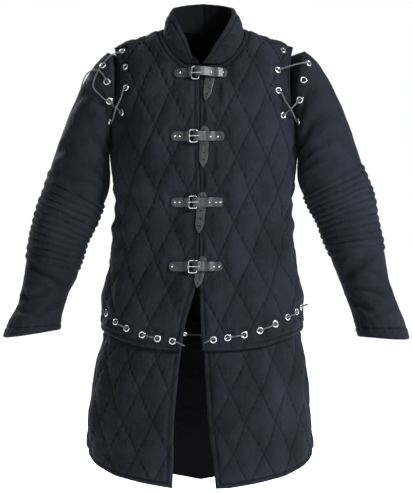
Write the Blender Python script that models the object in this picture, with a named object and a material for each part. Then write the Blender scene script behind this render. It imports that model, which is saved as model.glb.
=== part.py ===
"""A padded, diamond-quilted coat with laced sleeves, a laced skirt and four buckled straps.

It hangs as it is worn, hollow, on a general figure. Metres, Z up, front towards -Y.
The origin is the middle of the neck opening at the height of the shoulders.
"""
import math

import bmesh
import bpy
import numpy as np
from mathutils import Vector
from mathutils.geometry import delaunay_2d_cdt

# Sizes that drive the whole coat
HALF_ROUND = 0.53          # half of the girth that the patterns are drawn on
SQUARENESS = 2.4           # exponent of the girth's rounded section
CLOSURE_X = -0.008         # where the two fronts meet
SEAM_GAP = 0.0004          # half of the gap between neighbouring pieces
JACKET_WALL = 0.0045       # cloth and wadding at a stitched line
SKIRT_WALL = 0.0040
SLEEVE_WALL = 0.0040
COLLAR_WALL = 0.0050
COLLAR_DROP = 0.0042       # how far its inner edge hangs over the back's neck edge
JACKET_PUFF = 0.0046       # how far a diamond stands out
SKIRT_PUFF = 0.0036
RIB_PUFF = 0.0030
JACKET_DIAMOND = (0.068, 0.136)
SKIRT_DIAMOND = (0.055, 0.125)
SHOULDER_TOP = 0.033       # height of the shoulder ridge carried on to the middle
SHOULDER_SLOPE = 0.376
UNDERARM = -0.225

EYELET_OUTER = 0.0074
EYELET_HOLE = 0.0046
EYELET_RISE = 0.0016
HOLE_SIDES = 6
PRESSED = 0.0100           # radius that an eyelet presses flat
LACE_RADIUS = 0.0013
LACE_OVER = 0.0056         # lace's middle over the cloth where it leaves a hole
LACE_REST = 0.0059         # how far off a hole's middle the lace lies down
ON_EYELET, ON_CLOTH = 0.0043, 0.0019   # lace's middle over the cloth there
STRAP_HEIGHT = 0.0195
STRAP_THICK = 0.0022
BUCKLE_BAR = 0.0013
CLEAR = 0.0006             # air under what lies on the cloth

# height, half width, depth of the front, depth of the back, sideways shift
JACKET_FORM = np.array([
    (-0.700, 0.2120, 0.1310, 0.1440, -0.002),
    (-0.640, 0.2115, 0.1290, 0.1410, -0.002),
    (-0.600, 0.2095, 0.1265, 0.1375, -0.002),
    (-0.561, 0.2075, 0.1235, 0.1335, -0.001),
    (-0.527, 0.2000, 0.1200, 0.1280, -0.001),
    (-0.467, 0.1905, 0.1140, 0.1180, -0.001),
    (-0.406, 0.1850, 0.1110, 0.1130, 0.000),
    (-0.376, 0.1830, 0.1115, 0.1130, 0.001),
    (-0.328, 0.1870, 0.1150, 0.1150, 0.001),
    (-0.250, 0.1925, 0.1215, 0.1190, 0.001),
    (-0.180, 0.1950, 0.1220, 0.1200, 0.001),
    (-0.085, 0.1950, 0.1000, 0.1120, 0.001),
    (0.000, 0.1950, 0.0740, 0.0980, 0.001),
    (0.060, 0.1950, 0.0600, 0.0850, 0.001),
])
SKIRT_FORM = np.array([
    (-0.980, 0.2350, 0.1560, 0.1720, -0.005),
    (-0.900, 0.2340, 0.1520, 0.1660, -0.005),
    (-0.845, 0.2335, 0.1475, 0.1600, -0.007),
    (-0.803, 0.2295, 0.1430, 0.1550, -0.008),
    (-0.742, 0.2235, 0.1370, 0.1480, -0.006),
    (-0.700, 0.2180, 0.1305, 0.1430, -0.005),
    (-0.668, 0.2105, 0.1215, 0.1340, -0.003),
    (-0.645, 0.2035, 0.1200, 0.1315, -0.002),
    (-0.600, 0.2010, 0.1165, 0.1270, -0.002),
    (-0.560, 0.1985, 0.1140, 0.1235, -0.002),
])
# way round from the front's middle, height of the jacket's hem
JACKET_HEM = np.array([
    (0.000, -0.666), (0.060, -0.666), (0.120, -0.659), (0.170, -0.645),
    (0.215, -0.632), (0.265, -0.623), (0.320, -0.630), (0.400, -0.655), (0.530, -0.672),
])
SKIRT_HEM = np.array([
    (0.000, -0.947), (0.050, -0.945), (0.100, -0.936), (0.150, -0.924), (0.200, -0.905),
    (0.240, -0.887), (0.265, -0.878), (0.320, -0.892), (0.400, -0.932), (0.530, -0.961),
])
SKIRT_TUCK = 0.056         # how far the skirt goes up inside the jacket
# height, way round of the right and of the left front's edge
FRONT_EDGES = np.array([
    (-0.700, -0.0420, 0.0010), (-0.655, -0.0390, -0.0003), (-0.600, -0.0300, -0.0030),
    (-0.550, -0.0170, -0.0055), (-0.510, -0.0087, -0.0073), (-0.080, -0.0087, -0.0073),
])
SKIRT_EDGES = np.array([
    (-0.960, -0.0490, 0.0270), (-0.850, -0.0455, 0.0190), (-0.750, -0.0420, 0.0110),
    (-0.640, -0.0385, 0.0035),
])
# neck seam and upper rim of the collar: share of the way from the front to the back,
# seam's x, seam's height (9 marks the shoulder ridge), 1 for the back, rim's x, y, z
COLLAR_ROWS = np.array([
    (0.00, 0.0010, -0.0815, 0, 0.0100, -0.0960, -0.0730),
    (0.15, 0.0340, -0.080, 0, 0.0190, -0.0900, -0.0570),
    (0.30, 0.0620, -0.060, 0, 0.0300, -0.0760, -0.0310),
    (0.45, 0.0800, -0.033, 0, 0.0450, -0.0560, -0.0040),
    (0.58, 0.0865, -0.012, 0, 0.0580, -0.0330, 0.0210),
    (0.68, 0.0840, 9.000, 0, 0.0660, -0.0080, 0.0390),
    (0.78, 0.0680, 0.001, 1, 0.0650, 0.0230, 0.0480),
    (0.89, 0.0350, 0.000, 1, 0.0430, 0.0560, 0.0570),
    (1.00, 0.0000, -0.002, 1, 0.0000, 0.0720, 0.0630),
])
# way round and height of the armhole's front; 9 marks the shoulder ridge
ARMHOLE = np.array([
    (0.2646, -0.225), (0.2480, -0.221), (0.2260, -0.204), (0.2080, -0.170),
    (0.2000, -0.130), (0.2020, -0.080), (0.2110, -0.030), (0.2190, 9.000),
])
# x and z of the sleeve's outer and inner line, half depth, y, bow towards the body
SLEEVE_RIGHT = np.array([
    (-0.2010, -0.047, -0.1995, -0.226, 0.0670, 0.003, 0.0135),
    (-0.2180, -0.064, -0.2000, -0.246, 0.0700, 0.003, 0.0110),
    (-0.2460, -0.103, -0.2003, -0.272, 0.0730, 0.003, 0.0050),
    (-0.2760, -0.168, -0.2006, -0.300, 0.0730, 0.002, 0.000),
    (-0.3010, -0.233, -0.2020, -0.328, 0.0710, 0.001, 0.000),
    (-0.3190, -0.288, -0.2085, -0.362, 0.0680, 0.000, 0.000),
    (-0.3360, -0.340, -0.2200, -0.395, 0.0650, -0.002, 0.000),
    (-0.3490, -0.381, -0.2345, -0.428, 0.0620, -0.005, 0.000),
    (-0.3580, -0.418, -0.2480, -0.459, 0.0590, -0.010, 0.000),
    (-0.3650, -0.458, -0.2560, -0.489, 0.0560, -0.016, 0.000),
    (-0.3710, -0.505, -0.2660, -0.521, 0.0530, -0.025, 0.000),
    (-0.3765, -0.537, -0.2800, -0.549, 0.0480, -0.034, 0.000),
    (-0.3830, -0.570, -0.2900, -0.579, 0.0460, -0.043, 0.000),
    (-0.4000, -0.603, -0.2950, -0.603, 0.0500, -0.052, 0.000),
    (-0.4130, -0.641, -0.2980, -0.626, 0.0530, -0.060, 0.000),
])
SLEEVE_LEFT = np.array([
    (0.2130, -0.044, 0.2015, -0.226, 0.0670, 0.003, 0.0135),
    (0.2300, -0.058, 0.2020, -0.246, 0.0700, 0.003, 0.0120),
    (0.2580, -0.095, 0.2022, -0.268, 0.0730, 0.003, 0.0055),
    (0.2880, -0.156, 0.2025, -0.290, 0.0730, 0.002, 0.000),
    (0.3110, -0.214, 0.2040, -0.314, 0.0710, 0.001, 0.000),
    (0.3310, -0.277, 0.2115, -0.345, 0.0680, 0.000, 0.000),
    (0.3480, -0.319, 0.2230, -0.372, 0.0650, -0.002, 0.000),
    (0.3580, -0.355, 0.2360, -0.397, 0.0620, -0.005, 0.000),
    (0.3650, -0.401, 0.2480, -0.427, 0.0590, -0.010, 0.000),
    (0.3740, -0.442, 0.2595, -0.458, 0.0560, -0.016, 0.000),
    (0.3800, -0.483, 0.2745, -0.496, 0.0530, -0.025, 0.000),
    (0.3870, -0.524, 0.2880, -0.532, 0.0480, -0.034, 0.000),
    (0.3980, -0.559, 0.3010, -0.566, 0.0460, -0.043, 0.000),
    (0.4130, -0.598, 0.3125, -0.602, 0.0500, -0.052, 0.000),
    (0.4260, -0.645, 0.3230, -0.640, 0.0530, -0.060, 0.000),
])
SLEEVE_ROUND = 0.40        # girth that the sleeve's pattern is drawn on
SLEEVE_LONG = 0.62
SLEEVE_TUCK = 0.022        # how far the sleeve's head goes on inside the armhole
SLEEVE_TOP = SLEEVE_LONG + SLEEVE_TUCK
RIBS = 12
RIB_FROM, RIB_TO = 0.36, 0.68

# x and z of the holes in the cloth
WAIST_RIGHT = [(-0.2000, -0.5930), (-0.1800, -0.609), (-0.1565, -0.622),
               (-0.1245, -0.6345), (-0.0930, -0.642), (-0.0625, -0.647)]
WAIST_LEFT = [(0.0210, -0.6440), (0.0500, -0.6400), (0.0840, -0.6345),
              (0.1160, -0.6260), (0.1480, -0.6130), (0.1740, -0.5995), (0.1930, -0.5890),
              (0.2030, -0.5800)]
WAIST_BACK = [0.315, 0.375, 0.435, 0.495]
SHOULDER_RIGHT = [(-0.1680, -0.046), (-0.1610, -0.082), (-0.1590, -0.126), (-0.1680, -0.177)]
SHOULDER_LEFT = [(0.1670, -0.045), (0.1540, -0.089), (0.1550, -0.132), (0.1650, -0.183)]
SLEEVE_HOLES = [38.0, 66.0, 92.0, 120.0]
SLEEVE_HOLE_ROW = 0.034    # from the armhole's edge, along the pattern
HEAD_IN = 0.012            # how far towards the body the tucked head goes
HEAD_FLAT, HEAD_LOW = 0.56, 0.26   # shares that its depth and its height shrink by

# height of each strap's middle, ends of the tab and of the strap, tail's top and tip
STRAPS = [
    ("1", -0.0975, -0.0600, -0.0245, -0.0140, 0.0490, 0.0185, -0.0850, 0.0045, -0.1560),
    ("2", -0.2280, -0.0650, -0.0290, -0.0170, 0.0430, 0.0030, -0.2070, 0.0000, -0.2920),
    ("3", -0.3630, -0.0650, -0.0300, -0.0180, 0.0410, -0.0010, -0.3420, -0.0090, -0.4270),
    ("4", -0.4950, -0.0700, -0.0310, -0.0180, 0.0390, 0.0010, -0.4740, -0.0130, -0.5390),
]


def section_table():
    """Shares of the half girth and the unit section's x and y, walked from front to back."""
    a, b = 0.195, 0.124
    turn = np.linspace(0.0, math.pi, 1441)
    sine, cosine = np.sin(turn), np.cos(turn)
    reach = ((np.abs(sine) / a) ** SQUARENESS + (np.abs(cosine) / b) ** SQUARENESS)
    reach = reach ** (-1.0 / SQUARENESS)
    x, y = reach * sine, -reach * cosine
    walked = np.concatenate(([0.0], np.cumsum(np.hypot(np.diff(x), np.diff(y)))))
    return walked / walked[-1], x / a, y / b


SHARE, UNIT_X, UNIT_Y = section_table()


def smooth_columns(table, height):
    """The table's columns at the heights, eased between rows by a monotone cubic."""
    z = table[:, 0]
    out = []
    for column in table[:, 1:].T:
        step = np.diff(column) / np.diff(z)
        slope = np.zeros_like(z)
        left, right = step[:-1], step[1:]
        same = left * right > 0
        slope[1:-1] = np.where(same, 2 * left * right / np.where(same, left + right, 1), 0)
        slope[0], slope[-1] = step[0], step[-1]
        at = np.clip(height, z[0], z[-1])
        i = np.clip(np.searchsorted(z, at) - 1, 0, len(z) - 2)
        wide = z[i + 1] - z[i]
        t = (at - z[i]) / wide
        out.append((2 * t**3 - 3 * t**2 + 1) * column[i] + (t**3 - 2 * t**2 + t) * wide * slope[i]
                   + (3 * t**2 - 2 * t**3) * column[i + 1] + (t**3 - t**2) * wide * slope[i + 1])
    return out


def roll_radius(s):
    """Height over which the front or the back rounds over to the shoulder ridge."""
    return 0.110 - 0.010 * np.cos(math.pi * np.abs(s) / HALF_ROUND)


def body_point(table, s, h):
    """Point of the figure for the pattern's way round s and height h along the cloth.

    The section is a rounded oval; near the shoulder the cloth rolls over to the ridge.
    """
    s, h = np.broadcast_arrays(np.asarray(s, float), np.asarray(h, float))
    wide, front, back, shift = smooth_columns(table, h)
    share = np.abs(s) / HALF_ROUND
    x = np.sign(s) * wide * np.interp(share, SHARE, UNIT_X)
    unit_y = np.interp(share, SHARE, UNIT_Y)
    roll = roll_radius(s)
    start = SHOULDER_TOP - SHOULDER_SLOPE * np.abs(x) - roll
    angle = np.clip((h - start) / roll, 0.0, math.pi / 2)
    z = np.where(h > start, start + roll * np.sin(angle), h)
    y = 0.003 + np.cos(angle) * np.where(unit_y < 0, front, back) * unit_y
    return np.stack([x + shift, y, z], axis=-1)


def ridge_height(s):
    """Pattern height at which the cloth reaches the shoulder ridge."""
    x = 0.195 * np.interp(np.abs(s) / HALF_ROUND, SHARE, UNIT_X)
    roll = roll_radius(s)
    return SHOULDER_TOP - SHOULDER_SLOPE * x - roll + roll * math.pi / 2


def pattern_spot(table, x, z, back=False):
    """Pattern place whose point on the figure has this x and z."""
    height = z
    for _ in range(12):
        wide, _, _, shift = smooth_columns(table, np.array([height]))
        unit = min(0.9999, abs(x - float(shift[0])) / float(wide[0]))
        half = len(SHARE) // 2
        share = float(np.interp(unit, UNIT_X[:half + 1], SHARE[:half + 1]))
        if back:
            share = 1.0 - share
        s = share * HALF_ROUND
        roll = float(roll_radius(s))
        start = SHOULDER_TOP - SHOULDER_SLOPE * unit * float(wide[0]) - roll
        rise = min(1.0, (z - start) / roll)
        height = start + roll * math.asin(rise) if z > start else z
    return math.copysign(s, x), height


def unit_rows(v):
    return v / np.maximum(np.linalg.norm(v, axis=-1, keepdims=True), 1e-12)


def outward(place, s, h):
    """Unit normal of a pattern's surface by small differences."""
    e = 4e-4
    ds = place(s + e, h) - place(s - e, h)
    dh = place(s, h + e) - place(s, h - e)
    return unit_rows(np.cross(ds, dh))


def diamonds(s, h, size):
    """Pillowed diamonds: nought on both families of slanted lines, one in the middle."""
    u, v = 2 * s / size[0], 2 * h / size[1]
    rise = np.abs(np.sin(math.pi * (u + v) / 2) * np.sin(math.pi * (u - v) / 2))
    return rise ** 0.55


def outline_distance(s, h, outline):
    """Distance of pattern places from a closed outline."""
    p = np.stack([np.ravel(s), np.ravel(h)], axis=-1)
    best = np.full(len(p), 1e9)
    for a, b in zip(outline, np.roll(outline, -1, axis=0)):
        d = b - a
        t = np.clip(((p - a) @ d) / max(float(d @ d), 1e-12), 0, 1)
        best = np.minimum(best, np.hypot(*(p - a - t[:, None] * d).T))
    return best.reshape(np.shape(s))


def ease(x, low, high):
    t = np.clip((x - low) / (high - low), 0.0, 1.0)
    return t * t * (3 - 2 * t)


def flats_mask(s, h, flats):
    """Nought where hardware presses the wadding flat, one away from it."""
    keep = np.ones(np.shape(s))
    for cs, ch, half_s, half_h in flats:
        if half_h == 0:
            off = np.hypot(s - cs, h - ch) - half_s
        else:
            off = np.hypot(np.maximum(np.abs(s - cs) - half_s, 0), np.maximum(np.abs(h - ch) - half_h, 0))
        keep = np.minimum(keep, ease(off, 0.0005, 0.013))
    return keep


def resample(points, step):
    """An open line of pattern points at about equal steps, both ends kept."""
    points = np.asarray(points, float)
    along = np.concatenate(([0], np.cumsum(np.hypot(*np.diff(points, axis=0).T))))
    count = max(1, int(round(along[-1] / step)))
    at = np.linspace(0, along[-1], count + 1)
    return np.stack([np.interp(at, along, points[:, 0]), np.interp(at, along, points[:, 1])], axis=-1)


def inside(points, outline):
    """Which points lie in the closed outline, by counting crossings."""
    hit = np.zeros(len(points), bool)
    for a, b in zip(outline, np.roll(outline, -1, axis=0)):
        level = (a[1] > points[:, 1]) != (b[1] > points[:, 1])
        rise = b[1] - a[1] if b[1] != a[1] else 1e-12
        hit ^= level & (points[:, 0] < (b[0] - a[0]) * (points[:, 1] - a[1]) / rise + a[0])
    return hit


def cut_pattern(outline, holes, extra, lines, margin):
    """Flat pattern piece: outline and holes cut, inner points and stitched lines kept.

    Returns the points, with those of the outline and of the holes first, and triangles.
    """
    outline = np.asarray(outline, float)
    turn = np.arange(HOLE_SIDES) * math.tau / HOLE_SIDES + 0.2
    rings = [np.stack([cs + rs * np.cos(turn), ch + rh * np.sin(turn)], axis=-1) for cs, ch, rs, rh in holes]
    keep = inside(extra, outline) & (outline_distance(extra[:, 0], extra[:, 1], outline) > margin)
    for cs, ch, rs, rh in holes:
        keep &= np.hypot((extra[:, 0] - cs) / rs, (extra[:, 1] - ch) / rh) > 2.0
    number = {int(i): k for k, i in enumerate(np.flatnonzero(keep))}
    edge_count = len(outline) + HOLE_SIDES * len(rings)
    points = np.concatenate([outline, *rings, extra[keep]])
    edges = [(i, (i + 1) % len(outline)) for i in range(len(outline))]
    for k in range(len(rings)):
        base = len(outline) + HOLE_SIDES * k
        edges += [(base + i, base + (i + 1) % HOLE_SIDES) for i in range(HOLE_SIDES)]
    for a, b in lines:
        if a in number and b in number:
            middle = (extra[a] + extra[b]) / 2
            if all(math.hypot(middle[0] - cs, middle[1] - ch) > 0.018 for cs, ch, _, _ in holes):
                edges.append((edge_count + number[a], edge_count + number[b]))
    got = delaunay_2d_cdt([Vector(p) for p in points], edges, [], 0, 1e-7)
    back = [ids[0] if ids else -1 for ids in got[3]]
    if min(back) < 0 or len(got[0]) != len(points):
        raise ValueError("the pattern's lines cross")
    triangles = np.array([[back[i] for i in face] for face in got[2]])
    corner = points[triangles]
    middle = corner.mean(axis=1)
    one, two = corner[:, 1] - corner[:, 0], corner[:, 2] - corner[:, 0]
    good = inside(middle, outline) & (np.abs(one[:, 0] * two[:, 1] - one[:, 1] * two[:, 0]) > 1e-7)
    for ring in rings:
        good &= ~inside(middle, ring)
    return points, triangles[good], len(outline), len(rings)


def lattice(outline, size, part):
    """Points of the quilting's grid over an outline and its slanted stitched lines."""
    du, dv = size[0] / part, size[1] / part
    low, high = outline.min(axis=0), outline.max(axis=0)
    i = np.arange(math.floor(low[0] / du), math.ceil(high[0] / du) + 1)
    j = np.arange(math.floor(low[1] / dv), math.ceil(high[1] / dv) + 1)
    gi, gj = np.meshgrid(i, j, indexing="ij")
    points = np.stack([gi.ravel() * du, gj.ravel() * dv], axis=-1)
    lines = []
    rows = len(j)
    for a in range(len(i) - 1):
        for b in range(rows - 1):
            if (i[a] - j[b]) % part == 0:
                lines.append((a * rows + b, (a + 1) * rows + b + 1))
            if (i[a] + j[b] + 1) % part == 0:
                lines.append((a * rows + b + 1, (a + 1) * rows + b))
    return points, lines


def new_material(name, colour, roughness, metallic=0.0):
    material = bpy.data.materials.new(name)
    material.use_nodes = True
    shader = material.node_tree.nodes["Principled BSDF"]
    shader.inputs["Base Color"].default_value = (*colour, 1.0)
    shader.inputs["Roughness"].default_value = roughness
    shader.inputs["Metallic"].default_value = metallic
    return material


def add_solid(name, points, faces, look, smooth=True):
    """One closed solid from points and faces, with its own material."""
    mesh = bpy.data.meshes.new(name)
    mesh.from_pydata([tuple(map(float, p)) for p in points], [], [list(map(int, f)) for f in faces])
    bm = bmesh.new()
    bm.from_mesh(mesh)
    bmesh.ops.remove_doubles(bm, verts=bm.verts, dist=0.00002)
    bmesh.ops.recalc_face_normals(bm, faces=bm.faces)
    if bm.calc_volume(signed=True) < 0:
        bmesh.ops.reverse_faces(bm, faces=bm.faces)
    bm.to_mesh(mesh)
    bm.free()
    mesh.polygons.foreach_set("use_smooth", [smooth] * len(mesh.polygons))
    thing = bpy.data.objects.new(name, mesh)
    bpy.context.scene.collection.objects.link(thing)
    mesh.materials.append(new_material(name + "_look", *look))
    return thing


def cloth_piece(name, outline, place, wall, relief, outer, inner, holes, look):
    """Wall of one cut piece: quilted outer face, plain inner face and a rim between.

    outer and inner are pairs of inner points and stitched lines of the flat pattern.
    """
    p_out, t_out, ring, hole_count = cut_pattern(outline, holes, outer[0], outer[1], 0.006)
    p_in, t_in, _, _ = cut_pattern(outline, holes, inner[0], inner[1], 0.010)
    edge = ring + HOLE_SIDES * hole_count
    n_out = outward(place, p_out[:, 0], p_out[:, 1])
    rise = relief(p_out[:, 0], p_out[:, 1])
    rise[:edge] = 0.0
    top = place(p_out[:, 0], p_out[:, 1]) + n_out * rise[:, None]
    n_in = outward(place, p_in[:, 0], p_in[:, 1])
    bottom = place(p_in[:, 0], p_in[:, 1]) - n_in * wall
    shift = len(top)
    faces = [tuple(t) for t in t_out] + [tuple(t[::-1] + shift) for t in t_in]
    loops = [(0, ring)] + [(ring + HOLE_SIDES * k, HOLE_SIDES) for k in range(hole_count)]
    for start, count in loops:
        for i in range(count):
            a, b = start + i, start + (i + 1) % count
            faces.append((a, b, b + shift))
            faces.append((a, b + shift, a + shift))
    return add_solid(name, np.concatenate([top, bottom]), faces, look)


def collar_seam(t):
    """Neck seam in the pattern for a share t of the way from front to back, one side."""
    rows = np.array([pattern_spot(JACKET_FORM, r[1] + 1e-6, r[2], bool(r[3])) if r[2] < 1
                     else (0.0, 0.0) for r in COLLAR_ROWS])
    mark = int(np.argmax(COLLAR_ROWS[:, 2]))
    s = float(pattern_spot(JACKET_FORM, COLLAR_ROWS[mark, 1], -0.09)[0])
    rows[mark] = (s, float(ridge_height(s)))
    t = np.asarray(t, float)
    front, back = COLLAR_ROWS[:mark + 1], COLLAR_ROWS[mark:]
    out = []
    for column in (0, 1):
        ahead = smooth_columns(np.column_stack([front[:, 0], rows[:mark + 1, column]]), t)[0]
        turned = rows[mark:, column].copy()
        if column == 0:
            turned[0] = HALF_ROUND - s
        else:
            turned[0] = float(ridge_height(HALF_ROUND - s))
        behind = smooth_columns(np.column_stack([back[:, 0], turned]), t)[0]
        out.append(np.where(t <= COLLAR_ROWS[mark, 0], ahead, behind))
    return np.stack(out, axis=-1), COLLAR_ROWS[mark, 0]


def front_outline(side):
    """Closed outline of a front, side -1 for the wearer's right and 1 for the left."""
    column = 1 if side < 0 else 2
    down = np.arange(-0.088, -0.645, -0.0165)
    edge = np.stack([np.interp(down, FRONT_EDGES[:, 0], FRONT_EDGES[:, column]), down], axis=-1)
    low = np.interp(edge[-1, 0] * side, JACKET_HEM[:, 0], JACKET_HEM[:, 1])
    corner = np.array([[np.interp(low, FRONT_EDGES[:, 0], FRONT_EDGES[:, column]), low]])
    hem_s = np.linspace(abs(corner[0, 0]) + 0.016, 0.2646, 15)
    if side * corner[0, 0] < 0:
        hem_s = np.linspace(0.016, 0.2646, 16)
    hem = np.stack([hem_s * side, np.interp(hem_s, JACKET_HEM[:, 0], JACKET_HEM[:, 1])], axis=-1)
    up = np.stack([np.full(19, 0.2646 * side), np.linspace(hem[-1, 1], UNDERARM, 20)[1:]], axis=-1)
    arm = armhole_line()
    arm[:, 0] *= side
    knot, _ = collar_seam(np.linspace(0.68, 0.0, 12))
    seam_s = np.linspace(abs(arm[-1, 0]), knot[0, 0], 9)[1:-1]
    seam = np.stack([seam_s * side, ridge_height(seam_s) - SEAM_GAP], axis=-1)
    neck = knot.copy()
    neck[0, 1] -= SEAM_GAP
    neck[:, 1] -= SEAM_GAP
    neck[:, 0] *= side
    neck[-1, 0] = edge[0, 0] + side * 0.002
    neck[-1, 1] = -0.0835
    return np.concatenate([edge, corner, hem, up, arm[1:], seam, neck])[::(1 if side > 0 else -1)]


def armhole_line():
    """Front line of the armhole from the underarm up to the ridge, on the left side."""
    line = ARMHOLE.copy()
    line[-1, 1] = float(ridge_height(line[-1, 0])) - SEAM_GAP
    fine = np.linspace(0, 1, 120)
    share = np.linspace(0, 1, len(line))
    curve = np.stack(smooth_columns(np.column_stack([share, line]), fine), axis=-1)
    return resample(curve, 0.0155)


def back_outline():
    """Closed outline of the back, drawn from the wearer's left round to the right.

    Its way round runs on past the back's middle, so it is one flat piece.
    """
    full = HALF_ROUND
    hem_s = np.linspace(full - 0.2646, full + 0.2646, 34)
    fold = full - np.abs(hem_s - full)
    hem = np.stack([hem_s, np.interp(fold, JACKET_HEM[:, 0], JACKET_HEM[:, 1])], axis=-1)
    side_r = np.stack([np.full(19, full + 0.2646), np.linspace(hem[-1, 1], UNDERARM, 20)[1:]], axis=-1)
    arm = armhole_line()
    arm_r = np.stack([full + arm[:, 0], arm[:, 1]], axis=-1)
    arm_r[-1, 1] = float(ridge_height(full - arm[-1, 0])) - SEAM_GAP
    knot, _ = collar_seam(np.linspace(0.68001, 1.0, 8))
    neck_s, neck_h = knot[:, 0], knot[:, 1] - SEAM_GAP
    seam_s = np.linspace(full - arm[-1, 0], neck_s[0], 9)[1:-1]
    seam_h = ridge_height(seam_s) - SEAM_GAP
    right = np.concatenate([np.stack([2 * full - seam_s, seam_h], axis=-1),
                            np.stack([2 * full - neck_s, neck_h], axis=-1)])
    half = np.concatenate([side_r, arm_r[1:], right])
    left = half[:-1][::-1].copy()
    left[:, 0] = 2 * full - left[:, 0]
    return np.concatenate([hem, half, left])


def round_place(table):
    """Surface of a pattern whose way round may run on past the back's middle."""
    def place(s, h):
        s = np.asarray(s, float)
        s = np.where(s > HALF_ROUND, s - 2 * HALF_ROUND, s)
        return body_point(table, s, h)
    return place


def skirt_outline(which):
    """Closed outline of a skirt piece: -1 right front, 1 left front, 0 the back."""
    def hem_at(s):
        return np.interp(s, SKIRT_HEM[:, 0], SKIRT_HEM[:, 1])

    def top_at(s):
        return np.interp(s, JACKET_HEM[:, 0], JACKET_HEM[:, 1]) + SKIRT_TUCK

    if which == 0:
        s = np.linspace(HALF_ROUND - 0.2646, HALF_ROUND + 0.2646, 40)
        fold = HALF_ROUND - np.abs(s - HALF_ROUND)
        low = np.stack([s, hem_at(fold)], axis=-1)
        high = np.stack([s, top_at(fold)], axis=-1)[::-1]
        rise = np.linspace(0, 1, 18)[1:-1, None]
        return np.concatenate([low, low[-1] + (high[0] - low[-1]) * rise, high,
                               high[-1] + (low[0] - high[-1]) * rise])
    column = 1 if which < 0 else 2
    rows = np.linspace(-0.650, -0.945, 20)
    edge = np.stack([np.interp(rows, SKIRT_EDGES[:, 0], SKIRT_EDGES[:, column]), rows], axis=-1)
    s = np.linspace(abs(edge[-1, 0]) + 0.014, 0.2646, 17)
    low = np.stack([s * which, hem_at(s)], axis=-1)
    s = np.linspace(0.2646, abs(edge[0, 0]) + 0.010, 17)
    high = np.stack([s * which, top_at(s)], axis=-1)
    rise = np.linspace(0, 1, 18)[1:-1, None]
    ring = np.concatenate([edge, low, low[-1] + (high[0] - low[-1]) * rise, high])
    return ring[::(1 if which > 0 else -1)]


def grid_points(outline, du, dv):
    """Plain grid of points over an outline, with no stitched lines."""
    low, high = outline.min(axis=0), outline.max(axis=0)
    gs, gh = np.meshgrid(np.arange(low[0] + du / 2, high[0], du), np.arange(low[1] + dv / 2, high[1], dv))
    return np.stack([gs.ravel(), gh.ravel()], axis=-1)


def flat_points(flats):
    """Pattern points round each pressed place, so that the cloth is really flat there."""
    out = []
    for cs, ch, half_s, half_h in flats:
        if half_h < 0.001:
            out += [(cs + PRESSED * math.cos(k * math.tau / 6), ch + PRESSED * math.sin(k * math.tau / 6))
                    for k in range(6)]
        else:
            for s in np.linspace(cs - half_s, cs + half_s, 2 + int(half_s / 0.0105)):
                out += [(s, ch - half_h), (s, ch + half_h)]
            for h in np.linspace(ch - half_h, ch + half_h, 2 + int(half_h / 0.014))[1:-1]:
                out += [(cs - half_s, h), (cs + half_s, h)]
    return np.array(out)


def thin_out(points, lines, near, gap):
    """Lattice points that stand clear of the pressed places' points."""
    keep = np.ones(len(points), bool)
    for p in near:
        keep &= np.hypot(points[:, 0] - p[0], points[:, 1] - p[1]) > gap
    number = np.cumsum(keep) - 1
    kept = [(int(number[a]), int(number[b])) for a, b in lines if keep[a] and keep[b]]
    return np.concatenate([points[keep], near]), kept


def make_panel(name, outline, table, wall, puff, size, holes, flats, look):
    """A quilted panel of the jacket or of the skirt.

    The skirt is pressed flat where the jacket's hem lies over it.
    """
    place = round_place(table)

    def relief(s, h):
        edge = ease(outline_distance(s, h, outline), 0.002, 0.012)
        if table is SKIRT_FORM:
            fold = HALF_ROUND - np.abs(np.abs(s) - HALF_ROUND)
            edge = edge * ease(np.interp(fold, JACKET_HEM[:, 0], JACKET_HEM[:, 1]) - h, -0.001, 0.012)
        return puff * diamonds(s, h, size) * edge * flats_mask(s, h, flats)

    points, lines = lattice(outline, size, 4)
    if flats:
        points, lines = thin_out(points, lines, flat_points(flats), 0.0065)
    plain = grid_points(outline, 0.034, 0.055)
    return cloth_piece(name, outline, place, wall, relief, (points, lines), (plain, []), holes, look)


def sleeve_place(table):
    """Surface of a sleeve: s is the way round from the underarm, h the way up from the cuff.

    Above the armhole's edge the head narrows and goes on into the armhole.
    """
    share = np.linspace(0, 1, len(table))
    rows = np.column_stack([share, table])

    def place(s, h):
        s, h = np.broadcast_arrays(np.asarray(s, float), np.asarray(h, float))
        down = np.clip(1.0 - h / SLEEVE_LONG, 0.0, 1.0)
        ox, oz, ix, iz, deep, mid, bow = smooth_columns(rows, down)
        turn = s / SLEEVE_ROUND * math.tau
        side, front = -np.cos(turn), np.sin(turn)
        toward = np.where(front > 0, 1.0, 1.1) * bow
        tuck = np.clip((h - SLEEVE_LONG) / SLEEVE_TUCK, 0.0, 1.0)
        x = (ox + ix) / 2 + (ox - ix) / 2 * side - np.sign(ox) * (toward * front**2 + HEAD_IN * tuck)
        z = (oz + iz) / 2 + (oz - iz) / 2 * side * (1 - HEAD_LOW * tuck)
        return np.stack([x, mid - deep * (1 - HEAD_FLAT * tuck) * front, z], axis=-1)
    return place


def sleeve_relief(h):
    """Rows of ribs round the elbow."""
    down = 1.0 - h / SLEEVE_LONG
    across = (down - RIB_FROM) / (RIB_TO - RIB_FROM)
    ribs = np.abs(np.sin(math.pi * RIBS * across)) ** 0.7
    return 0.0008 + RIB_PUFF * ribs * ease(across, 0.0, 0.04) * (1 - ease(across, 0.96, 1.0))


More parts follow.
